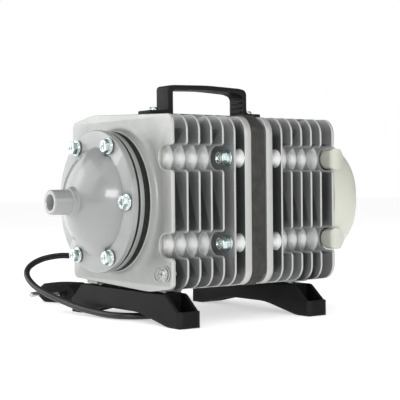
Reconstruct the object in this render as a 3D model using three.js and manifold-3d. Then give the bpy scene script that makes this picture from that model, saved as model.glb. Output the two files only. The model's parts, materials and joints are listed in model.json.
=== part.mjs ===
// Electromagnetic piston air pump for ponds and aquaria: two finned die-cast housings clamp a laminated
// stator; a spring-returned piston in the front housing drives air through a domed outlet cover.
// Millimetres, +Z up. Inside the "pump" group, x runs along the bore from the front plate's face towards
// the rear and z is measured from the bore's axis; the outlet points along -x.
import * as THREE from "three";
import { mergeVertices } from "three/addons/utils/BufferGeometryUtils.js";
import Module from "manifold-3d";

const wasm = await Module();
wasm.setup();

// ---- driving dimensions ----
const GAP = 0.3;
const AXIS_HEIGHT = 80.5;
const HALF_WIDTH = 62.9;
const HALF_HEIGHT = 59;
const SHOULDER_DROP = 3.7;
const SHOULDER_RUN = 27;
const PLATE_CORNER = 8;
const FIN_CORNER = 12;
const PLATE_THICK = 2.6;
const FIN_THICK = 1.6;
const FRONT_FINS = [11.8, 21.4, 31.0, 40.6];
const FRONT_FULL_FIN = 50.2;
const FRONT_FLANGE = [59.2, 64.9];
const STATOR_BAND = [65.2, 77.5];
const STATOR_STACK = [62.0, 78.5];
const REAR_FLANGE = [77.8, 83.2];
const REAR_FULL_FIN = 90.6;
const REAR_FINS = [99.5, 108.4, 117.4, 126.3];
const END_PLATE = [137.3, 139.7];
const BARREL_R = 44;
const CAVITY_R = 41.5;
const CLAMP_Y = 56;
const CLAMP_Z = 28.2;
const NOTCH_R = 7.8;
const MOUTH_R = 2.4;
const COLUMN_R = 11.4;
const COLUMN_Y = 36.6;
const SLEEVE_R = 5.2;
const BOLT_R = 2.5;
const BOLT_HOLE_R = 2.9;
const HEX_R = 4.6;
const WASHER_R = 5.6;

const HEAD_R = 46.7;
const HEAD_STACK = {
  cover: [-19.9, -14.9], gasket: [-14.6, -13.4], plate: [-13.1, -9.9], rubber: [-9.6, -6.1],
};
const BOSS_FACE = -5.8;
const BOSS_BASE_R = 52;
const COVER_BOLT_CIRCLE = 42;
const COVER_BOLTS = 6;
const DOME_R = 36.3;
const DOME_TIP = -37.5;
const DOME_WALL = 3.2;
const NOZZLE_TIP = -53;
const NOZZLE_R = 8.1;
const NOZZLE_BORE = 5.3;
const COLLAR_R = 9.6;

const CYLINDER_R = 29;
const LINER_R = [23, 25];
const LINER_X = [-5.5, 37.5];
const PISTON_R = 22.6;
const PISTON_X = [-1.5, 12];
const ROD_R = 4;
const ROD_END = 116;
const ARMATURE_R = 17.6;
const ARMATURE_X = [54.5, 73];
const POLE_HALF = 14;
const BORE_R = 18.6;
const WINDOW = [34, 35];
const STATOR_BAND_HALF = [61.2, 57.6];
const STATOR_STACK_HALF = [50, 46];
const CHAMFER = 9.5;
const SPRING = { from: 73.4, to: 115.1, meanR: 12, wireR: 1.15, turns: 6 };
const INNER_WALL = [118, 121.5];
const HUB_R = 9.4;

const HANDLE = { foot: [20.8, 117.5], post: [36, 105], top: 81.2, width: 16, thick: 3.6, base: 59.3 };
const FOOT = {
  front: [0.3, 18.1], rear: [108.6, 126.4], reach: 70, blockTop: -69.8, top: -59.6, arch: -73.5, wall: 2.4,
};
const FOOT_SCREW_X = { front: 9.2, rear: 117.5 };
const COVER_END = {
  depth: 46.2, half: [62.8, 49], across: 2.4, along: 2.5, wall: 2.4, lug: 3, wellR: 5.6, wellBore: 4,
};
const EAR = { r: 6.9, back: 4.5 };
const INLET = { rows: 5, pitch: 7, halfHeight: 1.6, reach: 20 };

const CORD_R = 2.3;
const CORD_Z = -AXIS_HEIGHT + CORD_R + 0.5;
const GLAND = { x: 57.5, z: -42, face: 64.0, tip: 92.0 };
const PLUG = {
  x: 19.6, y: 127.9, turn: 25, half: [17.6, 7.4], chamfer: [6.4, 5], body: 36, tail: 22, pinGap: 9.5, pin: 19,
};
const COIL = { x: 89.3, y: 116.6, meanR: 27, bundleW: 18.8, bundleH: 9.8, bevel: 2 };
const CORD_ROUTE_OUT = [
  [57.5, 92.4, -42], [57.4, 100, -42.2], [53.5, 109, -42.8], [45, 114.6, -43.4], [36, 117, -43.6],
  [28.4, 118.5, -43.4], [20.2, 122.4, -43.0], [6.1, 125.2, -45.2], [-4.1, 123.5, -49.7],
  [-10.2, 117.9, -53.7], [-13.1, 110.1, -57.8], [-13.8, 98.2, -63.1], [-12.8, 82.6, -67.4],
  [-9.6, 62, -72], [-7.6, 42, -75.2], [-5.2, 24.9, -76.9], [-1.7, 4.7, CORD_Z], [3.8, -6.4, CORD_Z],
  [14, -13, CORD_Z], [26, -12, CORD_Z], [35.5, -3.5, CORD_Z], [40, 9, CORD_Z], [41.5, 24, CORD_Z],
  [41.6, 38, CORD_Z], [42.2, 52, CORD_Z], [45, 65, CORD_Z], [51.4, 75.4, CORD_Z], [60.4, 81, CORD_Z],
  [70.2, 82, CORD_Z],
];

// Sides of round shapes: large shells, medium barrels, small bars and the smallest holes.
const LARGE = 28;
const MEDIUM = 20;
const SMALL = 12;
const TINY = 8;

// ---- materials ----
const material = (color, metalness, roughness) =>
  new THREE.MeshStandardMaterial({ color, metalness, roughness });
const CAST = material(0xc3c6c1, 0.7, 0.5);
const ZINC = material(0xb9cfcf, 0.9, 0.3);
const STEEL = material(0x9a9c9c, 0.9, 0.35);
const RUBBER = material(0x1e201e, 0.0, 0.8);
const BLACK = material(0x2c2d2d, 0.0, 0.55);
const CREAM = material(0xdee0d4, 0.0, 0.45);
const IRON = material(0x54534e, 0.5, 0.6);
const COPPER = material(0x9c5a2c, 0.8, 0.4);
const NYLON = material(0xd8d2c0, 0.0, 0.6);
const FOAM = material(0x3a3d3c, 0.0, 1.0);

// ---- solids ----
function solid(geometry) {
  const bare = geometry.index ? geometry.toNonIndexed() : geometry.clone();
  bare.deleteAttribute("normal");
  bare.deleteAttribute("uv");
  const merged = mergeVertices(bare, 1e-3);
  const triVerts = new Uint32Array(merged.index.array);
  const vertProperties = merged.attributes.position.array;
  const made = new wasm.Manifold(new wasm.Mesh({ numProp: 3, vertProperties, triVerts }));
  if (made.volume() > 0) return made;
  for (let i = 0; i < triVerts.length; i += 3) {
    [triVerts[i], triVerts[i + 1]] = [triVerts[i + 1], triVerts[i]];
  }
  return new wasm.Manifold(new wasm.Mesh({ numProp: 3, vertProperties, triVerts }));
}

const join = (first, ...rest) => rest.reduce((sum, piece) => sum.add(piece), first);
const cut = (first, ...rest) => rest.reduce((sum, piece) => sum.subtract(piece), first);

function geometryOf(made) {
  const mesh = made.getMesh();
  const positions = new Float32Array(mesh.numVert * 3);
  for (let i = 0; i < mesh.numVert; i++) {
    positions.set(mesh.vertProperties.subarray(i * mesh.numProp, i * mesh.numProp + 3), i * 3);
  }
  const geometry = new THREE.BufferGeometry();
  geometry.setAttribute("position", new THREE.BufferAttribute(positions, 3));
  geometry.setIndex(new THREE.BufferAttribute(new Uint32Array(mesh.triVerts), 1));
  geometry.computeVertexNormals();
  return geometry;
}

function box(x, y, z) {
  const [lx, hx] = x;
  const [ly, hy] = y;
  const [lz, hz] = z;
  const geometry = new THREE.BoxGeometry(hx - lx, hy - ly, hz - lz);
  geometry.translate((lx + hx) / 2, (ly + hy) / 2, (lz + hz) / 2);
  return solid(geometry);
}

// A round bar along x between two stations, centred on (y, z).
function bar([from, to], radius, y = 0, z = 0, sides = MEDIUM) {
  const geometry = new THREE.CylinderGeometry(radius, radius, to - from, sides);
  geometry.rotateZ(Math.PI / 2);
  geometry.translate((from + to) / 2, y, z);
  return solid(geometry);
}

const ring = ([from, to], outer, inner, sides = MEDIUM) =>
  cut(bar([from, to], outer, 0, 0, sides), bar([from - 1, to + 1], inner, 0, 0, sides));

// A round bar along z.
function post([from, to], radius, x, y, sides = TINY) {
  const geometry = new THREE.CylinderGeometry(radius, radius, to - from, sides);
  geometry.rotateX(Math.PI / 2);
  geometry.translate(x, y, (from + to) / 2);
  return solid(geometry);
}

// A body of revolution about the bore's axis, from [x, radius] pairs.
function turned(profile, sides = LARGE) {
  const geometry = new THREE.LatheGeometry(profile.map(([x, r]) => new THREE.Vector2(r, x)), sides);
  geometry.rotateZ(-Math.PI / 2);
  return solid(geometry);
}

// A flat outline in the y-z plane, extruded along x.
function slab(shape, [from, to], curveSegments = 2) {
  const geometry = new THREE.ExtrudeGeometry(shape, { depth: to - from, bevelEnabled: false, curveSegments });
  geometry.rotateZ(Math.PI / 2);
  geometry.rotateY(Math.PI / 2);
  geometry.translate(from, 0, 0);
  return solid(geometry);
}

// A flat outline in the x-z plane, extruded along y.
function sideSlab(shape, [from, to], curveSegments = 4) {
  const geometry = new THREE.ExtrudeGeometry(shape, { depth: to - from, bevelEnabled: false, curveSegments });
  geometry.rotateX(Math.PI / 2);
  geometry.translate(0, to, 0);
  return solid(geometry);
}

const around = (count, place) => Array.from({ length: count }, (_, i) => place((i * 2 * Math.PI) / count, i));

// ---- outlines ----
// The housing's outline: a flat middle, shallow sloping shoulders, rounded corners, and on each side two
// U-shaped notches centred on the clamp bolts.
function housingOutline(corner, notched) {
  const shape = new THREE.Shape();
  const shoulderY = HALF_WIDTH - SHOULDER_RUN;
  const cornerZ = HALF_HEIGHT - SHOULDER_DROP * (1 - corner / SHOULDER_RUN);
  const sides = [1, -1];
  shape.moveTo(-shoulderY, -HALF_HEIGHT);
  shape.lineTo(shoulderY, -HALF_HEIGHT);
  shape.lineTo(HALF_WIDTH - corner, -cornerZ);
  shape.quadraticCurveTo(HALF_WIDTH, -cornerZ + 0.4, HALF_WIDTH, -cornerZ + corner);
  if (notched) sides.forEach((up) => notch(shape, 1, -up * CLAMP_Z));
  shape.lineTo(HALF_WIDTH, cornerZ - corner);
  shape.quadraticCurveTo(HALF_WIDTH, cornerZ - 0.4, HALF_WIDTH - corner, cornerZ);
  shape.lineTo(shoulderY, HALF_HEIGHT);
  shape.lineTo(-shoulderY, HALF_HEIGHT);
  shape.lineTo(-HALF_WIDTH + corner, cornerZ);
  shape.quadraticCurveTo(-HALF_WIDTH, cornerZ - 0.4, -HALF_WIDTH, cornerZ - corner);
  if (notched) sides.forEach((up) => notch(shape, -1, up * CLAMP_Z));
  shape.lineTo(-HALF_WIDTH, -cornerZ + corner);
  shape.quadraticCurveTo(-HALF_WIDTH, -cornerZ + 0.4, -HALF_WIDTH + corner, -cornerZ);
  shape.closePath();
  return shape;
}

// One notch, drawn on the side of the outline at y = side * HALF_WIDTH; side 1 is drawn upwards.
function notch(shape, side, z) {
  const edge = side * HALF_WIDTH;
  const inner = edge - side * MOUTH_R;
  const start = z - side * (NOTCH_R + MOUTH_R);
  const end = z + side * (NOTCH_R + MOUTH_R);
  shape.lineTo(edge, start);
  shape.lineTo(inner, z - side * NOTCH_R);
  const from = (-side * Math.PI) / 2;
  shape.absarc(side * CLAMP_Y, z, NOTCH_R, from, from - Math.PI, true);
  shape.lineTo(inner, z + side * NOTCH_R);
  shape.lineTo(edge, end);
}

function chamferedRectangle(halfY, halfZ, chamfer) {
  const shape = new THREE.Shape();
  const corners = [[1, -1], [1, 1], [-1, 1], [-1, -1]];
  corners.forEach(([y, z]) => {
    const sharp = [y * halfY, z * halfZ];
    const alongZ = [sharp[0], sharp[1] - z * chamfer];
    const alongY = [sharp[0] - y * chamfer, sharp[1]];
    const [first, second] = y * z < 0 ? [alongY, alongZ] : [alongZ, alongY];
    if (shape.curves.length || shape.currentPoint.lengthSq()) shape.lineTo(...first);
    else shape.moveTo(...first);
    shape.lineTo(...second);
  });
  shape.closePath();
  return shape;
}

const CLAMP_PLACES = [[-CLAMP_Y, CLAMP_Z], [-CLAMP_Y, -CLAMP_Z], [CLAMP_Y, CLAMP_Z], [CLAMP_Y, -CLAMP_Z]];
const COLUMN_PLACES = CLAMP_PLACES.map(([y, z]) => [Math.sign(y) * COLUMN_Y, z]);
const COVER_PLACES = around(COVER_BOLTS, (a) =>
  [-COVER_BOLT_CIRCLE * Math.cos(a), COVER_BOLT_CIRCLE * Math.sin(a)]);
const HANDLE_SCREW_X = [28.4, 111.4];
const FOOT_SCREW_Y = 40;
const EARTH_SCREW = { y: -55.4, z: -46.2 };
const EARTH_RING = { y: -46.8, z: -47.4, r: 4.8 };
const PAD_HALF = [7, 9];
const PAD_BOTTOM = -58.3;
const SCREW_FLOOR = 3.4;
const COVER_SCREW_DEPTH = 6;
const M4_CORE_R = 1.6;
const M4_HOLE_R = 1.9;

// ---- castings ----
const span = (side, near, far) => [side * near, side * far].sort((a, b) => a - b);
const barsAt = (places) => (range, radius, sides = TINY) =>
  places.map(([y, z]) => bar(range, radius, y, z, sides));
const atClamps = barsAt(CLAMP_PLACES);
const atColumns = barsAt(COLUMN_PLACES);
const bothSides = (make) => [-1, 1].map((side) => make(side));
const footScrewHoles = (x, heights) =>
  bothSides((side) => post(heights, M4_HOLE_R, x, side * FOOT_SCREW_Y));

function handlePad(fins) {
  return box([fins[1], fins[2] + FIN_THICK], [-PAD_HALF[1], PAD_HALF[1]], [BARREL_R - 1, HALF_HEIGHT]);
}

function footPads(range, top) {
  return bothSides((side) => {
    const across = span(side, FOOT_SCREW_Y - PAD_HALF[0], FOOT_SCREW_Y + PAD_HALF[0]);
    return box(range, across, [PAD_BOTTOM, top]);
  });
}

function frontHousing() {
  const back = FRONT_FLANGE[1] + 1;
  const solidParts = [
    slab(housingOutline(PLATE_CORNER, true), [0, PLATE_THICK]),
    ...FRONT_FINS.map((x) => slab(housingOutline(FIN_CORNER, true), [x, x + FIN_THICK])),
    slab(housingOutline(FIN_CORNER, false), [FRONT_FULL_FIN, FRONT_FULL_FIN + FIN_THICK]),
    slab(housingOutline(FIN_CORNER, false), FRONT_FLANGE),
    turned([
      [BOSS_FACE, 0], [BOSS_FACE, HEAD_R - 0.4], [-3, HEAD_R], [0, BOSS_BASE_R], [1, BOSS_BASE_R], [1, 0],
    ]),
    bar([PLATE_THICK - 1, FRONT_FLANGE[1]], BARREL_R, 0, 0, LARGE),
    ...atColumns([1, FRONT_FINS[3] + 1], COLUMN_R, SMALL),
    ...atClamps([FRONT_FULL_FIN + 1, FRONT_FLANGE[0] + 1], SLEEVE_R),
    box([FRONT_FULL_FIN + 0.2, FRONT_FLANGE[1]], [18, GLAND.face], [GLAND.z - 7, GLAND.z + 6.6]),
    bar([-1, 1], 5.2, EARTH_SCREW.y, EARTH_SCREW.z, SMALL),
    bar([0.5, FRONT_FINS[0] + 1], 4.2, EARTH_SCREW.y, EARTH_SCREW.z, SMALL),
    bar([-0.6, 1], EARTH_RING.r, EARTH_RING.y, EARTH_RING.z, SMALL),
    handlePad(FRONT_FINS),
    ...footPads([1, FRONT_FINS[0] + 1], -47),
  ];
  const cavity = bar([8, back], CAVITY_R, 0, 0, LARGE);
  const removed = [
    cut(cavity, bar([7, LINER_X[1] + 0.5], CYLINDER_R)),
    bar([BOSS_FACE - 1, LINER_X[1] + 2], LINER_R[1] + GAP, 0, 0, LARGE),
    slab(chamferedRectangle(STATOR_STACK_HALF[0] + 0.4, STATOR_STACK_HALF[1] + 0.4, CHAMFER),
      [STATOR_STACK[0] - 0.4, back]),
    ...atClamps([FRONT_FULL_FIN - 1, back], BOLT_HOLE_R),
    ...coverHoles([BOSS_FACE - 1, 7]),
    solid(new THREE.CylinderGeometry(3.9, 3.9, 62, SMALL).translate(GLAND.x, 34, GLAND.z)),
    post([50, HALF_HEIGHT + 1], M4_HOLE_R, HANDLE_SCREW_X[0], 0),
    ...footScrewHoles(FOOT_SCREW_X.front, [-HALF_HEIGHT - 1, -50]),
    bar([-2, 10], 1.8, EARTH_SCREW.y, EARTH_SCREW.z, TINY),
  ];
  return cut(join(...solidParts), ...removed);
}

function rearHousing() {
  const front = REAR_FLANGE[0] - 1;
  const shell = join(
    slab(housingOutline(FIN_CORNER, false), REAR_FLANGE),
    slab(housingOutline(FIN_CORNER, false), [REAR_FULL_FIN, REAR_FULL_FIN + FIN_THICK]),
    ...REAR_FINS.map((x) => slab(housingOutline(FIN_CORNER, true), [x, x + FIN_THICK])),
    slab(housingOutline(FIN_CORNER, true), END_PLATE),
    bar([REAR_FLANGE[0], END_PLATE[1] - 1], BARREL_R, 0, 0, LARGE),
    ...atColumns([REAR_FULL_FIN + 1, END_PLATE[0] + 1], COLUMN_R, SMALL),
    ...atClamps([REAR_FLANGE[1] - 1, REAR_FULL_FIN + 1], SLEEVE_R),
    handlePad(REAR_FINS),
    ...footPads([REAR_FINS[1], REAR_FINS[3] + 1], -40));
  const hollow = join(
    bar([front, INNER_WALL[0]], CAVITY_R, 0, 0, LARGE),
    bar([INNER_WALL[1], END_PLATE[1] + 1], CAVITY_R, 0, 0, LARGE));
  const hub = bar([105, INNER_WALL[1]], HUB_R, 0, 0, SMALL);
  const ventSpan = [INNER_WALL[0] - 2, INNER_WALL[1] + 2];
  const removed = [
    slab(chamferedRectangle(STATOR_STACK_HALF[0] + 0.4, STATOR_STACK_HALF[1] + 0.4, CHAMFER),
      [front, STATOR_STACK[1] + 0.4]),
    ...around(6, (a) => bar(ventSpan, 6, 27 * Math.cos(a), 27 * Math.sin(a), TINY)),
    ...atClamps([front, REAR_FULL_FIN + 3], BOLT_HOLE_R),
    bar([100, INNER_WALL[1] + 1], 6.9, 0, 0, SMALL),
    post([50, HALF_HEIGHT + 1], M4_HOLE_R, HANDLE_SCREW_X[1], 0),
    ...footScrewHoles(FOOT_SCREW_X.rear, [-HALF_HEIGHT - 1, -50]),
    ...atColumns([END_PLATE[1] - 8, END_PLATE[1] + 1], M4_HOLE_R),
  ];
  return cut(join(cut(shell, hollow), hub), ...removed);
}

// ---- outlet end ----
const coverHoles = (range) => COVER_PLACES.map(([y, z]) => bar(range, BOLT_R + GAP, y, z, TINY));

function outletCover() {
  const [face, back] = HEAD_STACK.cover;
  const dome = [];
  const steps = 6;
  for (let i = 0; i <= steps; i++) {
    const a = (i / steps) * (Math.PI / 2);
    dome.push([DOME_TIP + (face - DOME_TIP) * (1 - Math.cos(a)), DOME_R * Math.sin(a)]);
  }
  const crown = dome.filter(([, r]) => r > COLLAR_R);
  const outer = [
    [back, 0], [back, HEAD_R], [face + 1, HEAD_R], [face, HEAD_R - 1], ...crown.reverse(),
    [DOME_TIP - 1.2, COLLAR_R], [DOME_TIP - 2.2, COLLAR_R - 0.6], [DOME_TIP - 2.2, NOZZLE_R],
    [NOZZLE_TIP + 0.8, NOZZLE_R], [NOZZLE_TIP, NOZZLE_R - 0.8], [NOZZLE_TIP, 0],
  ];
  const inner = [[back + 1, 0], [back + 1, DOME_R - DOME_WALL]];
  for (let i = steps; i >= 0; i--) {
    const a = (i / steps) * (Math.PI / 2);
    const x = DOME_TIP + DOME_WALL + (back - DOME_TIP - DOME_WALL) * (1 - Math.cos(a));
    inner.push([x, (DOME_R - DOME_WALL) * Math.sin(a)]);
  }
  const holes = coverHoles([face - 4, back + 1]);
  return cut(turned(outer), turned(inner), bar([NOZZLE_TIP - 1, back], NOZZLE_BORE, 0, 0, SMALL), ...holes);
}

function headRing(range, inner) {
  return cut(ring(range, HEAD_R - 0.5, inner, LARGE), ...coverHoles([range[0] - 1, range[1] + 1]));
}

function valvePlate() {
  const [low, high] = HEAD_STACK.plate;
  const through = [low - 1, high + 1];
  const ports = around(6, (a) => bar(through, 2.2, 8.5 * Math.cos(a), 8.5 * Math.sin(a), TINY));
  const disc = bar([low, high], HEAD_R - 0.3, 0, 0, LARGE);
  return cut(disc, bar(through, 1.8, 0, 0, TINY), ...coverHoles(through), ...ports);
}

// ---- fasteners: a hex or round head with its washer, along x, head towards -x ----
function hexBolt(seat, end, y, z, headHeight = 4.2) {
  const shank = bar([seat - 1, end], BOLT_R, y, z, TINY);
  const washer = bar([seat - 1.5, seat], WASHER_R, y, z, SMALL);
  const head = bar([seat - 1.5 - headHeight, seat - 1], HEX_R, y, z, 6);
  const recess = bar([seat - 2.5 - headHeight, seat - headHeight], 2.6, y, z, 8);
  return cut(join(shank, washer, head), recess);
}

function clampBolt(y, z) {
  const seat = FRONT_FULL_FIN - GAP;
  const springWasher = bar([seat - 2, seat], WASHER_R - 0.3, y, z, SMALL);
  return join(hexBolt(seat - 1.6, REAR_FULL_FIN + 0.5, y, z), springWasher);
}

function topScrew(x) {
  const seat = HANDLE.base + 3 + GAP;
  const head = post([seat, seat + 2.4], 3.3, x, 0, SMALL);
  const shank = post([HALF_HEIGHT - 7, seat + 1], M4_CORE_R, x, 0);
  return cut(join(head, shank), box([x - 2.6, x + 2.6], [-0.5, 0.5], [seat + 1.4, seat + 4]));
}

function footScrew(x, y) {
  const seat = FOOT.top - SCREW_FLOOR;
  const head = post([seat - 2.4, seat - GAP], 3.6, x, y, SMALL);
  return join(head, post([seat - 1, -52], M4_CORE_R, x, y));
}

function earthScrew() {
  const seat = -1 - GAP;
  const { y, z } = EARTH_SCREW;
  const body = join(bar([seat - 2.2, seat - 0.5], 3.4, y, z, SMALL), bar([seat - 1, 8], 1.5, y, z, TINY));
  const washer = bar([seat - 0.8, seat], 4.4, y, z, SMALL);
  return cut(join(body, washer), box([seat - 4, seat - 1.4], [y - 2.6, y + 2.6], [z - 0.5, z + 0.5]));
}

function coverScrew(y, z) {
  const seat = END_PLATE[1] + GAP + COVER_END.lug + GAP;
  const shank = bar([END_PLATE[1] - COVER_SCREW_DEPTH, seat + 1], M4_CORE_R, y, z, TINY);
  return join(bar([seat, seat + 2.2], 3.4, y, z, SMALL), shank);
}

// ---- moving parts ----
function piston() {
  const [face, skirt] = PISTON_X;
  const crownBack = face + 5;
  const body = bar([face, skirt], PISTON_R, 0, 0, LARGE);
  const groove = ring([face + 3.6, face + 7.4], PISTON_R + 2, PISTON_R - 2.4, LARGE);
  const socket = bar([crownBack - 1, skirt + 2], 7.6, 0, 0, SMALL);
  const hollow = cut(bar([crownBack, skirt + 1], PISTON_R - 4.6), socket);
  const crown = [face - 1, crownBack + 1];
  const ports = around(6, (a) => bar(crown, 2, 10.2 * Math.cos(a), 10.2 * Math.sin(a), TINY));
  const screwHole = bar([face - 1, skirt + 1], 1.7, 0, 0, TINY);
  const rodHole = bar([crownBack, skirt + 1], ROD_R + GAP, 0, 0, SMALL);
  return cut(body, groove, hollow, ...ports, screwHole, rodHole);
}

const pistonRing = () =>
  ring([PISTON_X[0] + 3.9, PISTON_X[0] + 7.1], LINER_R[0] - 0.15, PISTON_R - 2.1, LARGE);
const intakeDisc = () => ring([PISTON_X[0] - 1.4, PISTON_X[0] - GAP], 13, 3.1, MEDIUM);

function intakeGuard() {
  const face = PISTON_X[0];
  const disc = bar([face - 3.6, face - 2.6], 9, 0, 0, MEDIUM);
  const stem = bar([face - 3, face - GAP], 2.7, 0, 0, TINY);
  return cut(join(disc, stem), bar([face - 5, face + 1], 1.7, 0, 0, TINY));
}

function intakeScrew() {
  const face = PISTON_X[0];
  return join(bar([face - 5, face - 3.9], 3, 0, 0, SMALL), bar([face - 4.5, face + 4.4], 1.4, 0, 0, TINY));
}

const pistonRod = () => bar([PISTON_X[0] + 5.3, ROD_END], ROD_R, 0, 0, SMALL);
const armature = () => ring(ARMATURE_X, ARMATURE_R, ROD_R + GAP, MEDIUM);

function returnSpring() {
  const { from, to, meanR, wireR, turns } = SPRING;
  const points = [];
  const perTurn = 9;
  for (let i = 0; i <= turns * perTurn; i++) {
    const a = (i / perTurn) * 2 * Math.PI;
    const x = from + wireR + ((to - from - 2 * wireR) * i) / (turns * perTurn);
    points.push(new THREE.Vector3(x, meanR * Math.cos(a), meanR * Math.sin(a)));
  }
  return sweep(points, wireR, 6, turns * perTurn);
}

// A round section swept along a smooth curve through the points.
function sweep(points, radius, sides, steps) {
  const rim = around(sides, (a) => new THREE.Vector2(radius * Math.cos(a), radius * Math.sin(a)));
  const section = new THREE.Shape(rim);
  const extrudePath = new THREE.CatmullRomCurve3(points, false, "centripetal");
  return solid(new THREE.ExtrudeGeometry(section, { steps, bevelEnabled: false, extrudePath }));
}

// ---- outlet and intake valves ----
const outletDisc = () => ring([HEAD_STACK.plate[0] - 1.7, HEAD_STACK.plate[0] - GAP], 12.5, 3.1, MEDIUM);

function outletGuard() {
  const seat = HEAD_STACK.plate[0];
  const disc = bar([seat - 4.5, seat - 3.3], 9.5, 0, 0, MEDIUM);
  const stem = bar([seat - 4, seat - GAP], 2.7, 0, 0, TINY);
  return cut(join(disc, stem), bar([seat - 6, seat + 1], 1.7, 0, 0, TINY));
}

function outletScrew() {
  const seat = HEAD_STACK.plate[0];
  const shank = bar([seat - 6, HEAD_STACK.plate[1] - GAP], 1.4, 0, 0, TINY);
  return join(bar([seat - 6.8, seat - 4.8], 2.8, 0, 0, SMALL), shank);
}

// ---- magnet ----
function statorCore() {
  const band = slab(chamferedRectangle(...STATOR_BAND_HALF, CHAMFER), STATOR_BAND);
  const stack = slab(chamferedRectangle(...STATOR_STACK_HALF, CHAMFER), STATOR_STACK);
  const through = [STATOR_STACK[0] - 1, STATOR_STACK[1] + 1];
  const opening = box(through, [-WINDOW[0], WINDOW[0]], [-WINDOW[1], WINDOW[1]]);
  const poles = bothSides((side) =>
    box(STATOR_STACK, [-POLE_HALF, POLE_HALF], span(side, 16, WINDOW[1] + 1)));
  const holes = atClamps([STATOR_BAND[0] - 1, STATOR_BAND[1] + 1], BOLT_HOLE_R);
  const yoke = cut(join(band, stack), opening);
  return cut(join(yoke, ...poles), bar(through, BORE_R, 0, 0, MEDIUM), ...holes);
}

// A rectangular sleeve around a pole, between two heights.
function poleSleeve(side, inner, outer, [low, high]) {
  const z = span(side, low, high);
  const [ix, iy] = inner;
  const [ox, oy] = outer;
  const middle = (STATOR_STACK[0] + STATOR_STACK[1]) / 2;
  const hole = box([middle - ix, middle + ix], [-iy, iy], [z[0] - 1, z[1] + 1]);
  return cut(box([middle - ox, middle + ox], [-oy, oy], z), hole);
}

function bobbin(side) {
  const inner = [8.6, POLE_HALF + 0.4];
  const flange = [18, 22];
  return join(
    poleSleeve(side, inner, [9.8, POLE_HALF + 1.6], [19.6, 34.6]),
    poleSleeve(side, inner, flange, [19.6, 20.8]),
    poleSleeve(side, inner, flange, [33.4, 34.6]));
}

const winding = (side) => poleSleeve(side, [10.2, POLE_HALF + 2], [17.4, 21.8], [21.2, 33]);

// ---- rear end ----
// A half superellipsoid bulging along +x from a station: half sizes depth, y and z, square in section by
// the power across and in profile by the power along.
function dome(start, depth, halfY, halfZ) {
  const geometry = new THREE.SphereGeometry(1, 32, 16);
  geometry.rotateZ(Math.PI / 2);
  const places = geometry.attributes.position;
  const { across, along } = COVER_END;
  for (let i = 0; i < places.count; i++) {
    const [x, y, z] = [places.getX(i), places.getY(i), places.getZ(i)];
    const round = Math.max(Math.hypot(y, z), 1e-9);
    const square = Math.pow(Math.pow(Math.abs(y), across) + Math.pow(Math.abs(z), across), 1 / across);
    const spread = square > 1e-6 ? Math.pow(round, 2 / along) / square : 0;
    const bulge = Math.sign(x) * Math.pow(Math.abs(x), 2 / along);
    places.setXYZ(i, start + depth * bulge, halfY * spread * y, halfZ * spread * z);
  }
  const reach = 2 * Math.max(halfY, halfZ);
  return solid(geometry).intersect(box([start, start + reach], [-reach, reach], [-reach, reach]));
}

function rearCover() {
  const start = END_PLATE[1] + GAP;
  const { depth, half, wall, lug, wellR, wellBore } = COVER_END;
  const back = start + depth;
  const outside = dome(start, depth, ...half);
  const inside = dome(start - 1, depth - wall + 1, half[0] - wall, half[1] - wall);
  const ears = CLAMP_PLACES.map(([y, z]) => {
    const range = [END_PLATE[0], start + EAR.back];
    const toEdge = span(Math.sign(y), CLAMP_Y, half[0] - 0.1);
    return join(bar(range, EAR.r, y, z, SMALL), box(range, toEdge, [z - EAR.r, z + EAR.r]));
  });
  const wells = atColumns([start, back], wellR, SMALL).map((well) => well.intersect(outside));
  const inlets = Array.from({ length: INLET.rows }, (_, i) => {
    const z = (i - (INLET.rows - 1) / 2) * INLET.pitch;
    const reach = Math.sqrt(INLET.reach ** 2 - z ** 2);
    return box([back - 8, back + 2], [-reach, reach], [z - INLET.halfHeight, z + INLET.halfHeight]);
  });
  const holes = [...atColumns([start - 1, back], M4_HOLE_R), ...atColumns([start + lug, back], wellBore)];
  return cut(join(cut(outside, inside), ...ears, ...wells), ...holes, ...inlets);
}

const filterFoam = () => bar([END_PLATE[1] + 10, END_PLATE[1] + 28], 30, 0, 0, MEDIUM);

function guideBush() {
  const sleeve = bar([103.5, INNER_WALL[1] - 0.5], 6.6, 0, 0, SMALL);
  const collar = bar([102.6, 104.7], 8.6, 0, 0, SMALL);
  return cut(join(sleeve, collar), bar([100, INNER_WALL[1] + 2], ROD_R + GAP, 0, 0, SMALL));
}

const springSeat = () => ring([INNER_WALL[0] - 2.5, INNER_WALL[0] - GAP], 15, HUB_R + GAP, MEDIUM);

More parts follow.
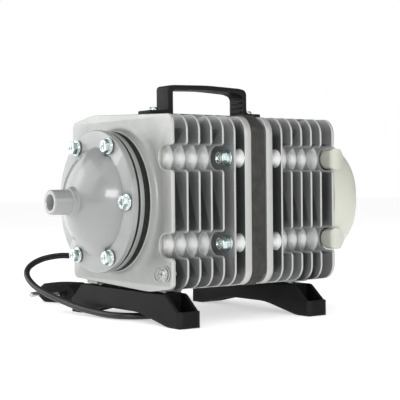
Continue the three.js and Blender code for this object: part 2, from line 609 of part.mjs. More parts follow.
// ---- handle and feet ----
function handle() {
  const { foot, post: posts, top, width, thick, base } = HANDLE;
  const [left, right] = posts;
  const corner = 3.4;
  const outer = new THREE.Shape();
  outer.moveTo(left, base);
  outer.lineTo(left, top - 1.2 - corner);
  outer.quadraticCurveTo(left, top - 1.2, left + corner, top - 0.9);
  outer.quadraticCurveTo((left + right) / 2, top + 0.9, right - corner * 1.6, top - 1.2);
  outer.quadraticCurveTo(right, top - 1.8, right, top - 1.8 - corner * 1.6);
  outer.lineTo(right, base);
  outer.closePath();
  const inner = new THREE.Shape();
  inner.moveTo(left + thick, base + 1.2);
  inner.lineTo(left + thick, top - 5.6);
  inner.quadraticCurveTo(left + thick, top - 4.6, left + thick + 1, top - 4.5);
  inner.quadraticCurveTo((left + right) / 2, top - 2.6, right - thick - 5, top - 5);
  inner.quadraticCurveTo(right - thick, top - 5.4, right - thick, top - 9);
  inner.lineTo(right - thick, base + 1.2);
  inner.closePath();
  const half = width / 2;
  const loop = cut(sideSlab(outer, [-half, half]), sideSlab(inner, [-half - 1, half + 1]));
  const flanges = box(foot, [-half, half], [base, base + 3]);
  const middle = box([left + thick, right - thick], [-half - 1, half + 1], [base + 1, base + 4]);
  const flares = [[left, -1], [right, 1]].map(([x, way]) => {
    const shape = new THREE.Shape();
    shape.moveTo(x - way, base + 1);
    shape.lineTo(x + way * 4.5, base + 2.9);
    shape.quadraticCurveTo(x + way * 0.4, base + 3.4, x, base + 7.5);
    shape.lineTo(x - way, base + 7.5);
    shape.closePath();
    return sideSlab(shape, [-half, half], 4);
  });
  const ribs = [0, 1, 2, 3].map((i) => {
    const low = base + 3.4 + i * 3.2;
    return box([right - thick - 0.9, right - thick + 1], [-half + 2, half - 2], [low, low + 1.2]);
  });
  const holes = HANDLE_SCREW_X.map((x) => post([base - 1, base + 4], M4_HOLE_R, x, 0));
  return cut(join(loop, cut(flanges, middle), ...flares, ...ribs), ...holes);
}

// A transverse foot: an arched channel with a hollow block at each end.
function foot([from, to], screwX) {
  const { reach, blockTop, top, arch, wall } = FOOT;
  const floor = -AXIS_HEIGHT;
  const landing = reach - 16;
  const flat = 16;
  const shape = new THREE.Shape();
  shape.moveTo(-reach, floor);
  shape.lineTo(-landing, floor);
  shape.bezierCurveTo(-landing + 8, floor, -flat - 20, arch, -flat, arch);
  shape.lineTo(flat, arch);
  shape.bezierCurveTo(flat + 20, arch, landing - 8, floor, landing, floor);
  shape.lineTo(reach, floor);
  shape.lineTo(reach, blockTop);
  shape.lineTo(reach - 4, blockTop);
  shape.lineTo(reach - 16.5, top);
  shape.lineTo(-reach + 16.5, top);
  shape.lineTo(-reach + 4, blockTop);
  shape.lineTo(-reach, blockTop);
  shape.closePath();
  const inside = [from + wall, to - wall];
  const pockets = bothSides((side) =>
    box(inside, span(side, FOOT_SCREW_Y + 9, reach - wall), [floor + 4, top + 1]));
  const hollows = bothSides((side) =>
    box(inside, span(side, 20, FOOT_SCREW_Y + 7), [floor - 1, top - SCREW_FLOOR]));
  return cut(slab(shape, [from, to], 5), ...pockets, ...hollows, ...footScrewHoles(screwX, [floor, top + 1]));
}

// ---- mains lead ----
// A round piece along y, turned from [y, radius] pairs.
function turnedAlongY(profile, x, z, sides = 12) {
  const geometry = new THREE.LatheGeometry(profile.map(([y, r]) => new THREE.Vector2(r, y)), sides);
  geometry.translate(x, 0, z);
  return solid(geometry);
}

function strainRelief() {
  const { face, tip, x, z } = GLAND;
  const ribs = [];
  for (let i = 0; i < 4; i++) {
    const at = face + 6 + i * 4.6;
    const rib = 4.5 - i * 0.3;
    const neck = 3.6 - i * 0.2;
    ribs.push([at, rib], [at + 2.4, rib - 0.1], [at + 2.5, neck], [at + 4.4, neck - 0.1]);
  }
  const flange = [[face + GAP, 3.5], [face + GAP, 6.6], [face + 2.6, 6.6], [face + 3.2, 5]];
  return turnedAlongY([[face - 18, 0], [face - 18, 3.5], ...flange, ...ribs, [tip, 2.8], [tip, 0]], x, z);
}

const cordVectors = (route) => route.map(([x, y, z]) => new THREE.Vector3(x, y, z));
const powerCord = () => sweep(cordVectors(CORD_ROUTE_OUT), CORD_R, 8, 76);

function cordCoil() {
  const { x, y, meanR, bundleW, bundleH, bevel } = COIL;
  const low = -AXIS_HEIGHT + GAP;
  const high = low + bundleH;
  const [inner, outer] = [meanR - bundleW / 2, meanR + bundleW / 2];
  const profile = [
    [inner, low + bevel], [inner + bevel, low], [outer - bevel, low], [outer, low + bevel],
    [outer, high - bevel], [outer - bevel, high], [inner + bevel, high], [inner, high - bevel],
    [inner, low + bevel],
  ];
  const geometry = new THREE.LatheGeometry(profile.map(([r, z]) => new THREE.Vector2(r, z)), MEDIUM);
  geometry.rotateX(Math.PI / 2);
  geometry.translate(x, y, 0);
  return solid(geometry);
}

// The plug's body, drawn with its pin face at x = 0 and its cord leaving along +x.
function plugBody() {
  const { half, chamfer, body, tail, pinGap } = PLUG;
  const [halfY, halfZ] = half;
  const section = new THREE.Shape();
  section.moveTo(-halfY, -halfZ + chamfer[1]);
  section.lineTo(-halfY + chamfer[0], -halfZ);
  section.lineTo(halfY - chamfer[0], -halfZ);
  section.lineTo(halfY, -halfZ + chamfer[1]);
  section.lineTo(halfY, halfZ - chamfer[1]);
  section.lineTo(halfY - chamfer[0], halfZ);
  section.lineTo(-halfY + chamfer[0], halfZ);
  section.lineTo(-halfY, halfZ - chamfer[1]);
  section.closePath();
  const plan = new THREE.Shape();
  plan.moveTo(0, -halfY);
  plan.lineTo(body * 0.3, -halfY);
  plan.quadraticCurveTo(body * 0.75, -halfY * 0.85, body, -halfY * 0.35);
  plan.lineTo(body, halfY * 0.35);
  plan.quadraticCurveTo(body * 0.75, halfY * 0.85, body * 0.3, halfY);
  plan.lineTo(0, halfY);
  plan.closePath();
  const depth = 2 * halfZ;
  const planGeometry = new THREE.ExtrudeGeometry(plan, { depth, bevelEnabled: false, curveSegments: 4 });
  planGeometry.translate(0, 0, -halfZ);
  const sleeve = turned([[body - 1, 0], [body - 1, 5], [body + tail, CORD_R + 0.4], [body + tail, 0]], SMALL);
  const holes = [-1, 1].map((side) => bar([-1, 8], 2.4, side * pinGap, 0, TINY));
  return cut(join(slab(section, [0, body]).intersect(solid(planGeometry)), sleeve), ...holes);
}

const plugPin = (side) => bar([-PLUG.pin, 7.6], 2, side * PLUG.pinGap, 0, TINY);

// ---- assembly ----
const pump = new THREE.Group();
const plug = new THREE.Group();

function add(name, made, finish, group = pump) {
  const mesh = new THREE.Mesh(geometryOf(made), finish);
  mesh.name = name;
  group.add(mesh);
}

add("front_housing", frontHousing(), CAST);
add("rear_housing", rearHousing(), CAST);
add("outlet_cover", outletCover(), CAST);
add("cover_gasket", headRing(HEAD_STACK.gasket, 36), RUBBER);
add("valve_plate", valvePlate(), CAST);
add("head_gasket", headRing(HEAD_STACK.rubber, 27.5), RUBBER);
COVER_PLACES.forEach(([y, z], i) =>
  add(`cover_bolt_${i + 1}`, hexBolt(HEAD_STACK.cover[0] - GAP, 6, y, z), ZINC));
CLAMP_PLACES.forEach(([y, z], i) => add(`clamp_bolt_${i + 1}`, clampBolt(y, z), ZINC));
add("outlet_valve_disc", outletDisc(), RUBBER);
add("outlet_valve_guard", outletGuard(), STEEL);
add("outlet_valve_screw", outletScrew(), STEEL);

add("cylinder_liner", ring(LINER_X, LINER_R[1], LINER_R[0], LARGE), STEEL);
add("piston", piston(), CAST);
add("piston_ring", pistonRing(), RUBBER);
add("intake_valve_disc", intakeDisc(), RUBBER);
add("intake_valve_guard", intakeGuard(), STEEL);
add("intake_valve_screw", intakeScrew(), STEEL);
add("piston_rod", pistonRod(), STEEL);
add("armature", armature(), IRON);
add("return_spring", returnSpring(), STEEL);
add("spring_seat", springSeat(), STEEL);
add("guide_bush", guideBush(), NYLON);

add("stator_core", statorCore(), IRON);
["lower", "upper"].forEach((place, i) => {
  add(`bobbin_${place}`, bobbin(2 * i - 1), NYLON);
  add(`winding_${place}`, winding(2 * i - 1), COPPER);
});

add("rear_cover", rearCover(), CREAM);
add("filter_foam", filterFoam(), FOAM);
COLUMN_PLACES.forEach(([y, z], i) => add(`rear_cover_screw_${i + 1}`, coverScrew(y, z), ZINC));
add("earth_screw", earthScrew(), ZINC);

add("handle", handle(), BLACK);
HANDLE_SCREW_X.forEach((x, i) => add(`handle_screw_${i + 1}`, topScrew(x), ZINC));
add("front_foot", foot(FOOT.front, FOOT_SCREW_X.front), BLACK);
add("rear_foot", foot(FOOT.rear, FOOT_SCREW_X.rear), BLACK);
const FOOT_SCREWS = [FOOT_SCREW_X.front, FOOT_SCREW_X.rear].flatMap((x) => [[x, -1], [x, 1]]);
FOOT_SCREWS.forEach(([x, side], i) => add(`foot_screw_${i + 1}`, footScrew(x, side * FOOT_SCREW_Y), ZINC));

add("strain_relief", strainRelief(), RUBBER);
add("power_cord", powerCord(), RUBBER);
add("cord_coil", cordCoil(), RUBBER);
add("plug_body", plugBody(), BLACK, plug);
[-1, 1].forEach((side, i) => add(`plug_pin_${i + 1}`, plugPin(side), STEEL, plug));
plug.position.set(PLUG.x, PLUG.y, -AXIS_HEIGHT + PLUG.half[1] + 0.3);
plug.rotation.z = THREE.MathUtils.degToRad(PLUG.turn);
pump.add(plug);

const frame = new THREE.Group();
const COVER_BACK = END_PLATE[1] + GAP + COVER_END.depth;
pump.position.set(-(NOZZLE_TIP + COVER_BACK) / 2, 0, AXIS_HEIGHT);
frame.add(pump);
export default frame;
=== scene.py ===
"""Looks of an electromagnetic piston air pump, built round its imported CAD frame.

Shapes are drawn in millimetres in bore coordinates: x runs along the bore from the front plate's face
towards the rear, y is across and z is up from the bore's axis. place() turns them into the row frame.
"""

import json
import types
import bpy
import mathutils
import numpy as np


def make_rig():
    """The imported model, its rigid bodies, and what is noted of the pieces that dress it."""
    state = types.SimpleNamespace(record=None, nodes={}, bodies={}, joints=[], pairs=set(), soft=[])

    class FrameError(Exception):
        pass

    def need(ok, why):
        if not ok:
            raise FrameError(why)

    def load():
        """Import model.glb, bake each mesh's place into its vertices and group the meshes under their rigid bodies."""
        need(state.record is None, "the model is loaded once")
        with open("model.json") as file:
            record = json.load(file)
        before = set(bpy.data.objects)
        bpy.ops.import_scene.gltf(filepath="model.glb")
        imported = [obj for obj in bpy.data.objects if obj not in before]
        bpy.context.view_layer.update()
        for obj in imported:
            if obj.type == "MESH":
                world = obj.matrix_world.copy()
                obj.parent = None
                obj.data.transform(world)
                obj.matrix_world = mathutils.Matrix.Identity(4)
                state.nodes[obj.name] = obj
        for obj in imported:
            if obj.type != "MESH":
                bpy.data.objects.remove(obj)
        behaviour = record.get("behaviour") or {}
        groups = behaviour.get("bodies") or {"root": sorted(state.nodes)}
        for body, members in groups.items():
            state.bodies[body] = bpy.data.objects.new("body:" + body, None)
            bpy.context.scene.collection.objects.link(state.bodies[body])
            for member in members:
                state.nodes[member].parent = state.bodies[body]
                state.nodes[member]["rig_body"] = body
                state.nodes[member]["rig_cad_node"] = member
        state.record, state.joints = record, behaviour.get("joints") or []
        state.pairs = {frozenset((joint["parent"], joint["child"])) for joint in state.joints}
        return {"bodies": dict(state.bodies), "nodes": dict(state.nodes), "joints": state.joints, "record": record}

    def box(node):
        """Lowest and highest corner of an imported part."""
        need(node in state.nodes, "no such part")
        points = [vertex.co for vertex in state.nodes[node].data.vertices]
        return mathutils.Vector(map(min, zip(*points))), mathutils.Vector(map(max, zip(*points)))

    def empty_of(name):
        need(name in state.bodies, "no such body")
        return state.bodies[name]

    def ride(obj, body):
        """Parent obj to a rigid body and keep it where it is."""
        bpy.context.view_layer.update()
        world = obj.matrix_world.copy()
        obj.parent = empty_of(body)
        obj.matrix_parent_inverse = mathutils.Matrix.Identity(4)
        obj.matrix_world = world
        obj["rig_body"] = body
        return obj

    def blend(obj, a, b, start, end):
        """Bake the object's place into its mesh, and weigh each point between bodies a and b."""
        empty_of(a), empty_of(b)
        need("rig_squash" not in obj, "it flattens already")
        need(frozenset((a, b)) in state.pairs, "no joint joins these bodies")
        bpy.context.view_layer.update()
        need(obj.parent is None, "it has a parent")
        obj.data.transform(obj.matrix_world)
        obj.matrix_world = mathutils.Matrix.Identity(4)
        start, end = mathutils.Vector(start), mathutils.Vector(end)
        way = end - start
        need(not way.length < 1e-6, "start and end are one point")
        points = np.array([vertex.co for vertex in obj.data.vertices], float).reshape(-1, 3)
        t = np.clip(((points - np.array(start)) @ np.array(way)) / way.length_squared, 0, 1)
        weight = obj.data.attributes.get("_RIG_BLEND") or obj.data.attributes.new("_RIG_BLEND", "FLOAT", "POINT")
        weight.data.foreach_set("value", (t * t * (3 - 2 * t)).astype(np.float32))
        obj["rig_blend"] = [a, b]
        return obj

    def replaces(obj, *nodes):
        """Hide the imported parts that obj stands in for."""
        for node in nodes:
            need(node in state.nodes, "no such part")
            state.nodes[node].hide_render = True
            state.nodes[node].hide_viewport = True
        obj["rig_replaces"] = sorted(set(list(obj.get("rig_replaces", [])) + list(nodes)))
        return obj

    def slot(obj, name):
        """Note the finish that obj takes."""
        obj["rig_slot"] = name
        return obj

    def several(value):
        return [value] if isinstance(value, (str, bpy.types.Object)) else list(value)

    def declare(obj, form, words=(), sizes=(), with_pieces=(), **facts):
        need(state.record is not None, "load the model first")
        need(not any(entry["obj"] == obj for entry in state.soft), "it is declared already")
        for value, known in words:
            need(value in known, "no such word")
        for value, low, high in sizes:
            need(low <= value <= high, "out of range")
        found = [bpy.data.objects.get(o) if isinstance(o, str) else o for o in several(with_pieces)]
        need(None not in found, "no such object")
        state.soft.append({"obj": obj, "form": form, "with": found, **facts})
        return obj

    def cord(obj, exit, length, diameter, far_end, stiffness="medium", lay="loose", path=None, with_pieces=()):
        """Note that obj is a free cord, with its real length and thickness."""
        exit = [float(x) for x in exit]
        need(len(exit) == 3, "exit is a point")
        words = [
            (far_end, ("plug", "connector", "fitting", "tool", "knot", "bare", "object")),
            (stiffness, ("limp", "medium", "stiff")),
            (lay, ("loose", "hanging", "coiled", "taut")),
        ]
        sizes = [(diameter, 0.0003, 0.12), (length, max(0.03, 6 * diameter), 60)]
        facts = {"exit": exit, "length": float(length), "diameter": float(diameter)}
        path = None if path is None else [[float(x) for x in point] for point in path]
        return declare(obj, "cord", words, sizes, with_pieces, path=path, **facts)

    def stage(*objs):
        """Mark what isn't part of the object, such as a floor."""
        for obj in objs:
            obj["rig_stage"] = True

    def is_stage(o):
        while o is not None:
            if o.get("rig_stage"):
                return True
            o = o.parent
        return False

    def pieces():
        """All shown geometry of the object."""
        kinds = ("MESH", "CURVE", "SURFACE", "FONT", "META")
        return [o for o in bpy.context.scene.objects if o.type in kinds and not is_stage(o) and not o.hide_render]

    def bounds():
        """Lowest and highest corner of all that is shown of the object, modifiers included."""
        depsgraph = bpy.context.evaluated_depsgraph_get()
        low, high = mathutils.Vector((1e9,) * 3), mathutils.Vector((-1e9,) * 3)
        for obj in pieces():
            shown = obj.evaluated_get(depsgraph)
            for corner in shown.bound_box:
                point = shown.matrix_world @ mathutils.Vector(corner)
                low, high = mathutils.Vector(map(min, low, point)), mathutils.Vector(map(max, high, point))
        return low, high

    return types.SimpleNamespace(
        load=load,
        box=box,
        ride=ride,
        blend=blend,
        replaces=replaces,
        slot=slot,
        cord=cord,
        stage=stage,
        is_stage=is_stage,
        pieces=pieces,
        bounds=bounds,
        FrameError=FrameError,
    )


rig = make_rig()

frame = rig.load()

import json
import math

import bmesh
import bpy
from mathutils import Matrix, Vector

CAD_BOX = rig.bounds()
MM = 0.001
HOUSING = "housing"
PISTON = "piston_assembly"

# ---- driving dimensions, mm ----
NOZZLE_TIP = -53.0
HALF_WIDTH = 62.9
HALF_HEIGHT = 59.0
CORNER_HEIGHT = 55.3
SHOULDER_Y = 36.0
FIN_THICK = 1.6
FIN_CORNER = 11.0
FRONT_CORNER = 4.5
FRONT_PLATE = (0.0, 2.8)
FRONT_FINS = (11.8, 21.4, 31.0, 40.6)
FRONT_FULL_FIN = 50.2
FRONT_FLANGE = (59.2, 64.9)
STATOR_BAND = (65.2, 77.5)
REAR_FLANGE = (77.8, 83.2)
REAR_FULL_FIN = 90.6
REAR_FINS = (99.5, 108.4, 117.4, 126.3)
END_PLATE = (137.3, 139.7)
COVER_START = END_PLATE[1] + 0.3
BARREL_R = 44.0
CAVITY_R = 41.3
CLAMP_Y = 56.0
CLAMP_Z = 28.2
NOTCH_R = 7.8
COLUMN_Y = 36.6
COLUMN_R = 9.8
HEAD_R = 47.7
COVER_BOLT_CIRCLE = 42.0
DOME_BASE = 36.3
DOME_BALL = 46.4
COVER_FACE = -19.9
CORD_R = 2.3
LEAD_EXIT = (57.5, -42.0)
EARTH_SCREW = (-55.4, -46.2)
HANDLE_SCREWS_X = (28.4, 111.4)
FOOT_SCREWS_X = (9.2, 117.5)
FOOT_SCREW_Y = 40.0
BOLT_HOLE_R = 2.8
CLAMP_HOLE_R = 2.9
SCREW_HOLE_R = 1.9

FLOOR_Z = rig.bounds()[0].z
X0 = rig.box("outlet_cover")[0].x - NOZZLE_TIP * MM
Z0 = (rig.box("valve_plate")[0].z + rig.box("valve_plate")[1].z) / 2
AXIS_HEIGHT = (Z0 - FLOOR_Z) / MM


def place(point):
    """A point in bore coordinates, mm, as a point in the row frame, m."""
    x, y, z = point
    return Vector((X0 + x * MM, y * MM, Z0 + z * MM))


# ---- camera ----
def make_camera():
    turn, tilt, roll = math.radians(-36.007), math.radians(0.619), math.radians(-0.518)
    back = Vector((math.sin(turn) * math.cos(tilt), -math.cos(turn) * math.cos(tilt), math.sin(tilt)))
    right = Vector((math.cos(turn), math.sin(turn), 0))
    up = back.cross(right)
    across = right * math.cos(roll) + up * math.sin(roll)
    upward = up * math.cos(roll) - right * math.sin(roll)
    data = bpy.data.cameras.new("camera")
    data.lens, data.sensor_width = 98.27, 36.0
    data.clip_start, data.clip_end = 0.05, 50.0
    camera = bpy.data.objects.new("camera", data)
    bpy.context.scene.collection.objects.link(camera)
    matrix = Matrix((across, upward, back)).transposed().to_4x4()
    matrix.translation = place((-390.7, -630.8, 8.4))
    camera.matrix_world = matrix
    bpy.context.scene.camera = camera


# ---- materials ----
class Shader:
    """A Principled material with short helpers for its node tree."""

    def __init__(self, name, rough=0.5, metal=0.0, coat=0.0, coat_rough=0.1, specular=0.5, sheen=0.0):
        self.material = bpy.data.materials.new(name)
        self.material.use_nodes = True
        self.nodes = self.material.node_tree.nodes
        self.links = self.material.node_tree.links
        self.bsdf = self.nodes["Principled BSDF"]
        for socket, value in (("Roughness", rough), ("Metallic", metal), ("Coat Weight", coat),
                              ("Coat Roughness", coat_rough), ("Specular IOR Level", specular),
                              ("Sheen Weight", sheen)):
            self.bsdf.inputs[socket].default_value = value
        self.where = self.nodes.new("ShaderNodeTexCoord").outputs["Object"]

    def node(self, kind, inputs, **settings):
        """A new node whose inputs are numbers, colours or links from other nodes' outputs."""
        node = self.nodes.new("ShaderNode" + kind)
        for name, value in settings.items():
            setattr(node, name, value)
        for socket, value in inputs.items():
            if isinstance(value, bpy.types.NodeSocket):
                self.links.new(value, node.inputs[socket])
            else:
                node.inputs[socket].default_value = value
        return node

    def stretched(self, scale):
        return self.node("Mapping", {"Scale": scale, "Vector": self.where}).outputs["Vector"]

    def noise(self, scale, detail=4.0, where=None):
        inputs = {"Scale": scale, "Detail": detail, "Roughness": 0.55, "Vector": where or self.where}
        return self.node("TexNoise", inputs).outputs["Fac"]

    def cells(self, scale):
        return self.node("TexVoronoi", {"Scale": scale, "Vector": self.where}).outputs["Distance"]

    def bands(self, scale, direction="X", distortion=0.0):
        inputs = {"Scale": scale, "Distortion": distortion, "Vector": self.where}
        return self.node("TexWave", inputs, bands_direction=direction).outputs["Fac"]

    def open_air(self, distance):
        """1 where the surface is open and 0 deep in a gap; distance is in millimetres."""
        return self.node("AmbientOcclusion", {"Distance": distance * MM}, samples=8).outputs["AO"]

    def edges(self, low=0.505, high=0.54):
        """1 on convex edges and 0 elsewhere."""
        return self.span(self.node("NewGeometry", {}).outputs["Pointiness"], low, high, 0.0, 1.0)

    def span(self, value, low, high, to_low, to_high):
        """A value between low and high moved to between to_low and to_high."""
        inputs = {"From Min": low, "From Max": high, "To Min": to_low, "To Max": to_high, "Value": value}
        return self.node("MapRange", inputs).outputs["Result"]

    def vary(self, value, to_low, to_high):
        """The middle of a noise spread over a range."""
        return self.span(value, 0.3, 0.7, to_low, to_high)

    def mottle(self, value, low, high, top=0.7):
        """A noise as a drift between two colours."""
        return self.ramp(value, [(0.3, low), (top, high)])

    def split(self, vector):
        return self.node("SeparateXYZ", {"Vector": vector}).outputs

    def ramp(self, value, stops):
        node = self.node("ValToRGB", {"Fac": value})
        for element, (at, colour) in zip(node.color_ramp.elements, stops):
            element.position = at
            element.color = (*colour, 1.0)
        return node.outputs["Color"]

    def mix(self, factor, first, second, kind="MIX"):
        first, second = ((*c, 1.0) if isinstance(c, tuple) else c for c in (first, second))
        inputs = {0: factor, 6: first, 7: second}
        return self.node("Mix", inputs, data_type="RGBA", blend_type=kind).outputs[2]

    def add(self, first, second, weight=1.0):
        return self.node("Math", {0: second, 1: weight, 2: first}, operation="MULTIPLY_ADD").outputs["Value"]

    def math(self, operation, first, second=0.0):
        return self.node("Math", {0: first, 1: second}, operation=operation).outputs["Value"]

    def bolt_distance(self, reach, spread=False):
        """Millimetres across the bore from the nearest of four axes at reach and the bolts' height."""
        at = self.split(self.where)
        across = self.math("ABSOLUTE", at["Y"])
        height = self.math("ABSOLUTE", self.math("SUBTRACT", at["Z"], Z0))
        beyond = self.math("SUBTRACT", reach * MM, across)
        if spread:
            beyond = self.math("MAXIMUM", beyond, 0.0)
        off = self.math("SUBTRACT", height, CLAMP_Z * MM)
        squares = self.math("ADD", self.math("MULTIPLY", beyond, beyond), self.math("MULTIPLY", off, off))
        return self.math("MULTIPLY", self.math("SQRT", squares), 1 / MM)

    def finish(self, colour=None, roughness=None, bump=None, depth=0.02):
        """depth is the bump's height in millimetres."""
        if colour is not None:
            self.links.new(colour, self.bsdf.inputs["Base Color"])
        if roughness is not None:
            self.links.new(roughness, self.bsdf.inputs["Roughness"])
        if bump is not None:
            bumpy = self.node("Bump", {"Strength": 1.0, "Distance": depth * MM, "Height": bump})
            self.links.new(bumpy.outputs["Normal"], self.bsdf.inputs["Normal"])
        return self.material


def cast_aluminium(name="cast_aluminium", tone=0.38, lit_edge=0.5):
    """As-cast metal with light and shade painted into its colour: painted shade, dark on the fins' faces and in
    recesses, and painted highlights, pale on their rims and along the clamp bolts' channels.
    """
    s = Shader(name, metal=0.45, specular=0.5)
    low, high = tone, tone + 0.07
    base = s.mottle(s.noise(38, 5), (low, low + 0.01, low - 0.005), (high, high + 0.01, high - 0.005))
    normal = s.split(s.node("NewGeometry", {}).outputs["Normal"])
    facing = s.span(s.math("ABSOLUTE", normal["X"]), 0.75, 0.92, 0, 1)
    at = s.split(s.where)["X"]
    behind_plate = s.span(at, X0 + 3.0 * MM, X0 + 4.5 * MM, 0, 1)
    before_cover = s.span(at, X0 + 138.5 * MM, X0 + 139.5 * MM, 1, 0)
    # painted shade: faces that look along the bore, between the front plate and the rear cover, take a dark colour for
    # the shadow between the fins
    fin_face = s.math("MULTIPLY", facing, s.math("MULTIPLY", behind_plate, before_cover))
    # painted shade: darker where ambient occlusion finds a recess
    painted_recess_shade = s.span(s.open_air(12), 0.30, 0.75, 1, 0)
    by_front = s.span(at, X0 + (FRONT_FULL_FIN + 0.3) * MM, X0 + (FRONT_FULL_FIN + 0.5) * MM, 1, 0)
    by_rear = s.span(at, X0 + (REAR_FULL_FIN + 2) * MM, X0 + (REAR_FULL_FIN + 2.5) * MM, 0, 1)
    # painted shade, made lighter in the notches round the clamp bolts where more light gets in; no painted rim
    # highlight there
    notch = s.span(s.bolt_distance(COLUMN_Y, True), 8.9, 9.5, 1, 0)
    notch = s.math("MULTIPLY", notch, s.math("MULTIPLY", behind_plate, s.math("MAXIMUM", by_front, by_rear)))
    # painted highlight: the bosses and sleeves seen between the fins are made pale for the light that falls on them,
    # and kept out of the painted shade
    sleeve = s.math("ADD", s.bolt_distance(CLAMP_Y), 4.6)
    painted_pearl_light = s.span(s.math("MINIMUM", s.bolt_distance(COLUMN_Y), sleeve), 10.9, 11.3, 1, 0)
    painted_pearl_light = s.math("MULTIPLY", s.math("MULTIPLY", painted_pearl_light, behind_plate), s.math("SUBTRACT", 1.0, facing))
    # where the painted shade goes, except on the painted pearl highlights
    dark = s.math("MAXIMUM", s.math("MAXIMUM", fin_face, painted_recess_shade), notch)
    shade = s.math("MULTIPLY", dark, s.math("SUBTRACT", 1.0, painted_pearl_light))
    # the painted shade's colour: dark grey, and lighter in the notches
    painted_shade_tone = s.mottle(s.noise(60, 4), (0.115, 0.122, 0.125), (0.145, 0.152, 0.155))
    painted_shade_tone = s.mix(notch, painted_shade_tone, (0.46, 0.475, 0.48))
    base = s.mix(painted_pearl_light, base, (0.86, 0.87, 0.85))
    base = s.mix(shade, base, painted_shade_tone)
    speck = s.ramp(s.noise(2600, 2), [(0.35, (0.80, 0.80, 0.80)), (0.62, (1.0, 1.0, 1.0))])
    colour = s.mix(0.35, base, speck, "MULTIPLY")
    # painted highlight: convex rims outside the notches are lightened by up to lit_edge
    painted_rim_light = s.math("MULTIPLY", s.edges(), s.math("SUBTRACT", 1.0, notch))
    colour = s.mix(s.span(painted_rim_light, 0, 1, 0, lit_edge), colour, (0.80, 0.81, 0.79))
    rough = s.vary(s.noise(240, 4), 0.38, 0.50)
    bump = s.add(s.noise(1500, 3), s.noise(170, 2), 2.5)
    return s.finish(colour, rough, bump, 0.035)


def painted_cover():
    s = Shader("painted_cover", metal=0.1, coat=0.8, coat_rough=0.12, specular=0.5)
    base = s.mottle(s.noise(30, 4), (0.33, 0.34, 0.34), (0.37, 0.38, 0.375))
    # painted shade: darker where ambient occlusion finds a crease, as at the dome's foot
    base = s.mix(s.span(s.open_air(5), 0.45, 0.92, 0.55, 0), base, (0.12, 0.12, 0.12))
    colour = s.mix(s.span(s.edges(0.51, 0.56), 0, 1, 0, 0.4), base, (0.72, 0.72, 0.70))
    rough = s.vary(s.noise(320, 3), 0.33, 0.43)
    bump = s.add(s.noise(900, 2), s.noise(90, 2), 3.0)
    return s.finish(colour, rough, bump, 0.02)


def zinc_plate(name="zinc_plated", low=(0.56, 0.66, 0.66), high=(0.80, 0.87, 0.85), rough=(0.16, 0.34)):
    s = Shader(name, metal=1.0)
    base = s.mottle(s.noise(420, 3), low, high)
    rough = s.vary(s.noise(900, 3), *rough)
    return s.finish(base, rough, s.noise(2200, 2), 0.012)


def steel():
    tone = 0.55
    s = Shader("steel", metal=1.0)
    where = s.stretched((1.0, 30.0, 30.0))
    base = s.mottle(s.noise(120, 4, where=where), (tone,) * 3, (tone + 0.12,) * 3)
    rough = s.vary(s.noise(260, 4, where=where), 0.24, 0.40)
    return s.finish(base, rough, s.noise(500, 2, where=where), 0.006)


def black_rubber():
    s = Shader("black_rubber", specular=0.35)
    base = s.mottle(s.noise(300, 5), (0.006, 0.0065, 0.006), (0.016, 0.017, 0.016), 0.75)
    rough = s.vary(s.noise(700, 4), 0.55, 0.78)
    return s.finish(base, rough, s.noise(2600, 3), 0.02)


def lead_sheath():
    s = Shader("lead_sheath", specular=0.5)
    base = s.mottle(s.noise(90, 4), (0.006, 0.0065, 0.0065), (0.013, 0.014, 0.014), 0.75)
    rough = s.vary(s.noise(500, 3), 0.30, 0.44)
    return s.finish(base, rough, s.noise(1400, 3), 0.02)


def black_plastic(name="black_plastic", low=0.005, high=0.010, rough=(0.48, 0.62)):
    s = Shader(name, specular=0.15)
    base = s.mottle(s.noise(70, 5), (low,) * 3, (high,) * 3, 0.75)
    colour = s.mix(s.span(s.edges(0.51, 0.57), 0, 1, 0, 0.5), base, (0.03, 0.03, 0.03))
    dust = s.vary(s.noise(1700, 2), *rough)
    bump = s.add(s.cells(1500), s.noise(900, 3), 0.8)
    return s.finish(colour, dust, bump, 0.03)


def cream_plastic():
    s = Shader("cream_plastic", specular=0.5, coat=0.12, coat_rough=0.2)
    base = s.mottle(s.noise(24, 3), (0.66, 0.675, 0.585), (0.715, 0.73, 0.64))
    s.bsdf.inputs["Subsurface Weight"].default_value = 0.12
    s.bsdf.inputs["Subsurface Radius"].default_value = (0.004, 0.004, 0.003)
    s.bsdf.inputs["Subsurface Scale"].default_value = 1.0
    rough = s.vary(s.noise(600, 3), 0.36, 0.46)
    return s.finish(base, rough, s.noise(1300, 3), 0.012)


def laminated_iron():
    s = Shader("laminated_iron", metal=0.35, specular=0.4)
    sheet = s.bands(1000, "X")
    base = s.mottle(s.noise(150, 5), (0.060, 0.059, 0.054), (0.105, 0.103, 0.096), 0.72)
    colour = s.mix(s.span(sheet, 0, 1, 0.0, 0.30), base, (0.045, 0.044, 0.040))
    rough = s.vary(s.noise(600, 4), 0.42, 0.66)
    return s.finish(colour, rough, s.add(s.noise(900, 3), sheet, 0.8), 0.03)


def copper_winding():
    s = Shader("copper_winding", metal=0.9, coat=0.4)
    base = s.mottle(s.noise(400, 3), (0.40, 0.14, 0.05), (0.62, 0.26, 0.10))
    return s.finish(base, s.vary(s.noise(500, 3), 0.25, 0.4), s.bands(1300, "Z", 0.4), 0.12)


def nylon():
    s = Shader("nylon", specular=0.4)
    base = s.mottle(s.noise(60, 3), (0.62, 0.58, 0.47), (0.72, 0.68, 0.57))
    return s.finish(base, s.vary(s.noise(400, 3), 0.42, 0.55), s.noise(1200, 3), 0.02)


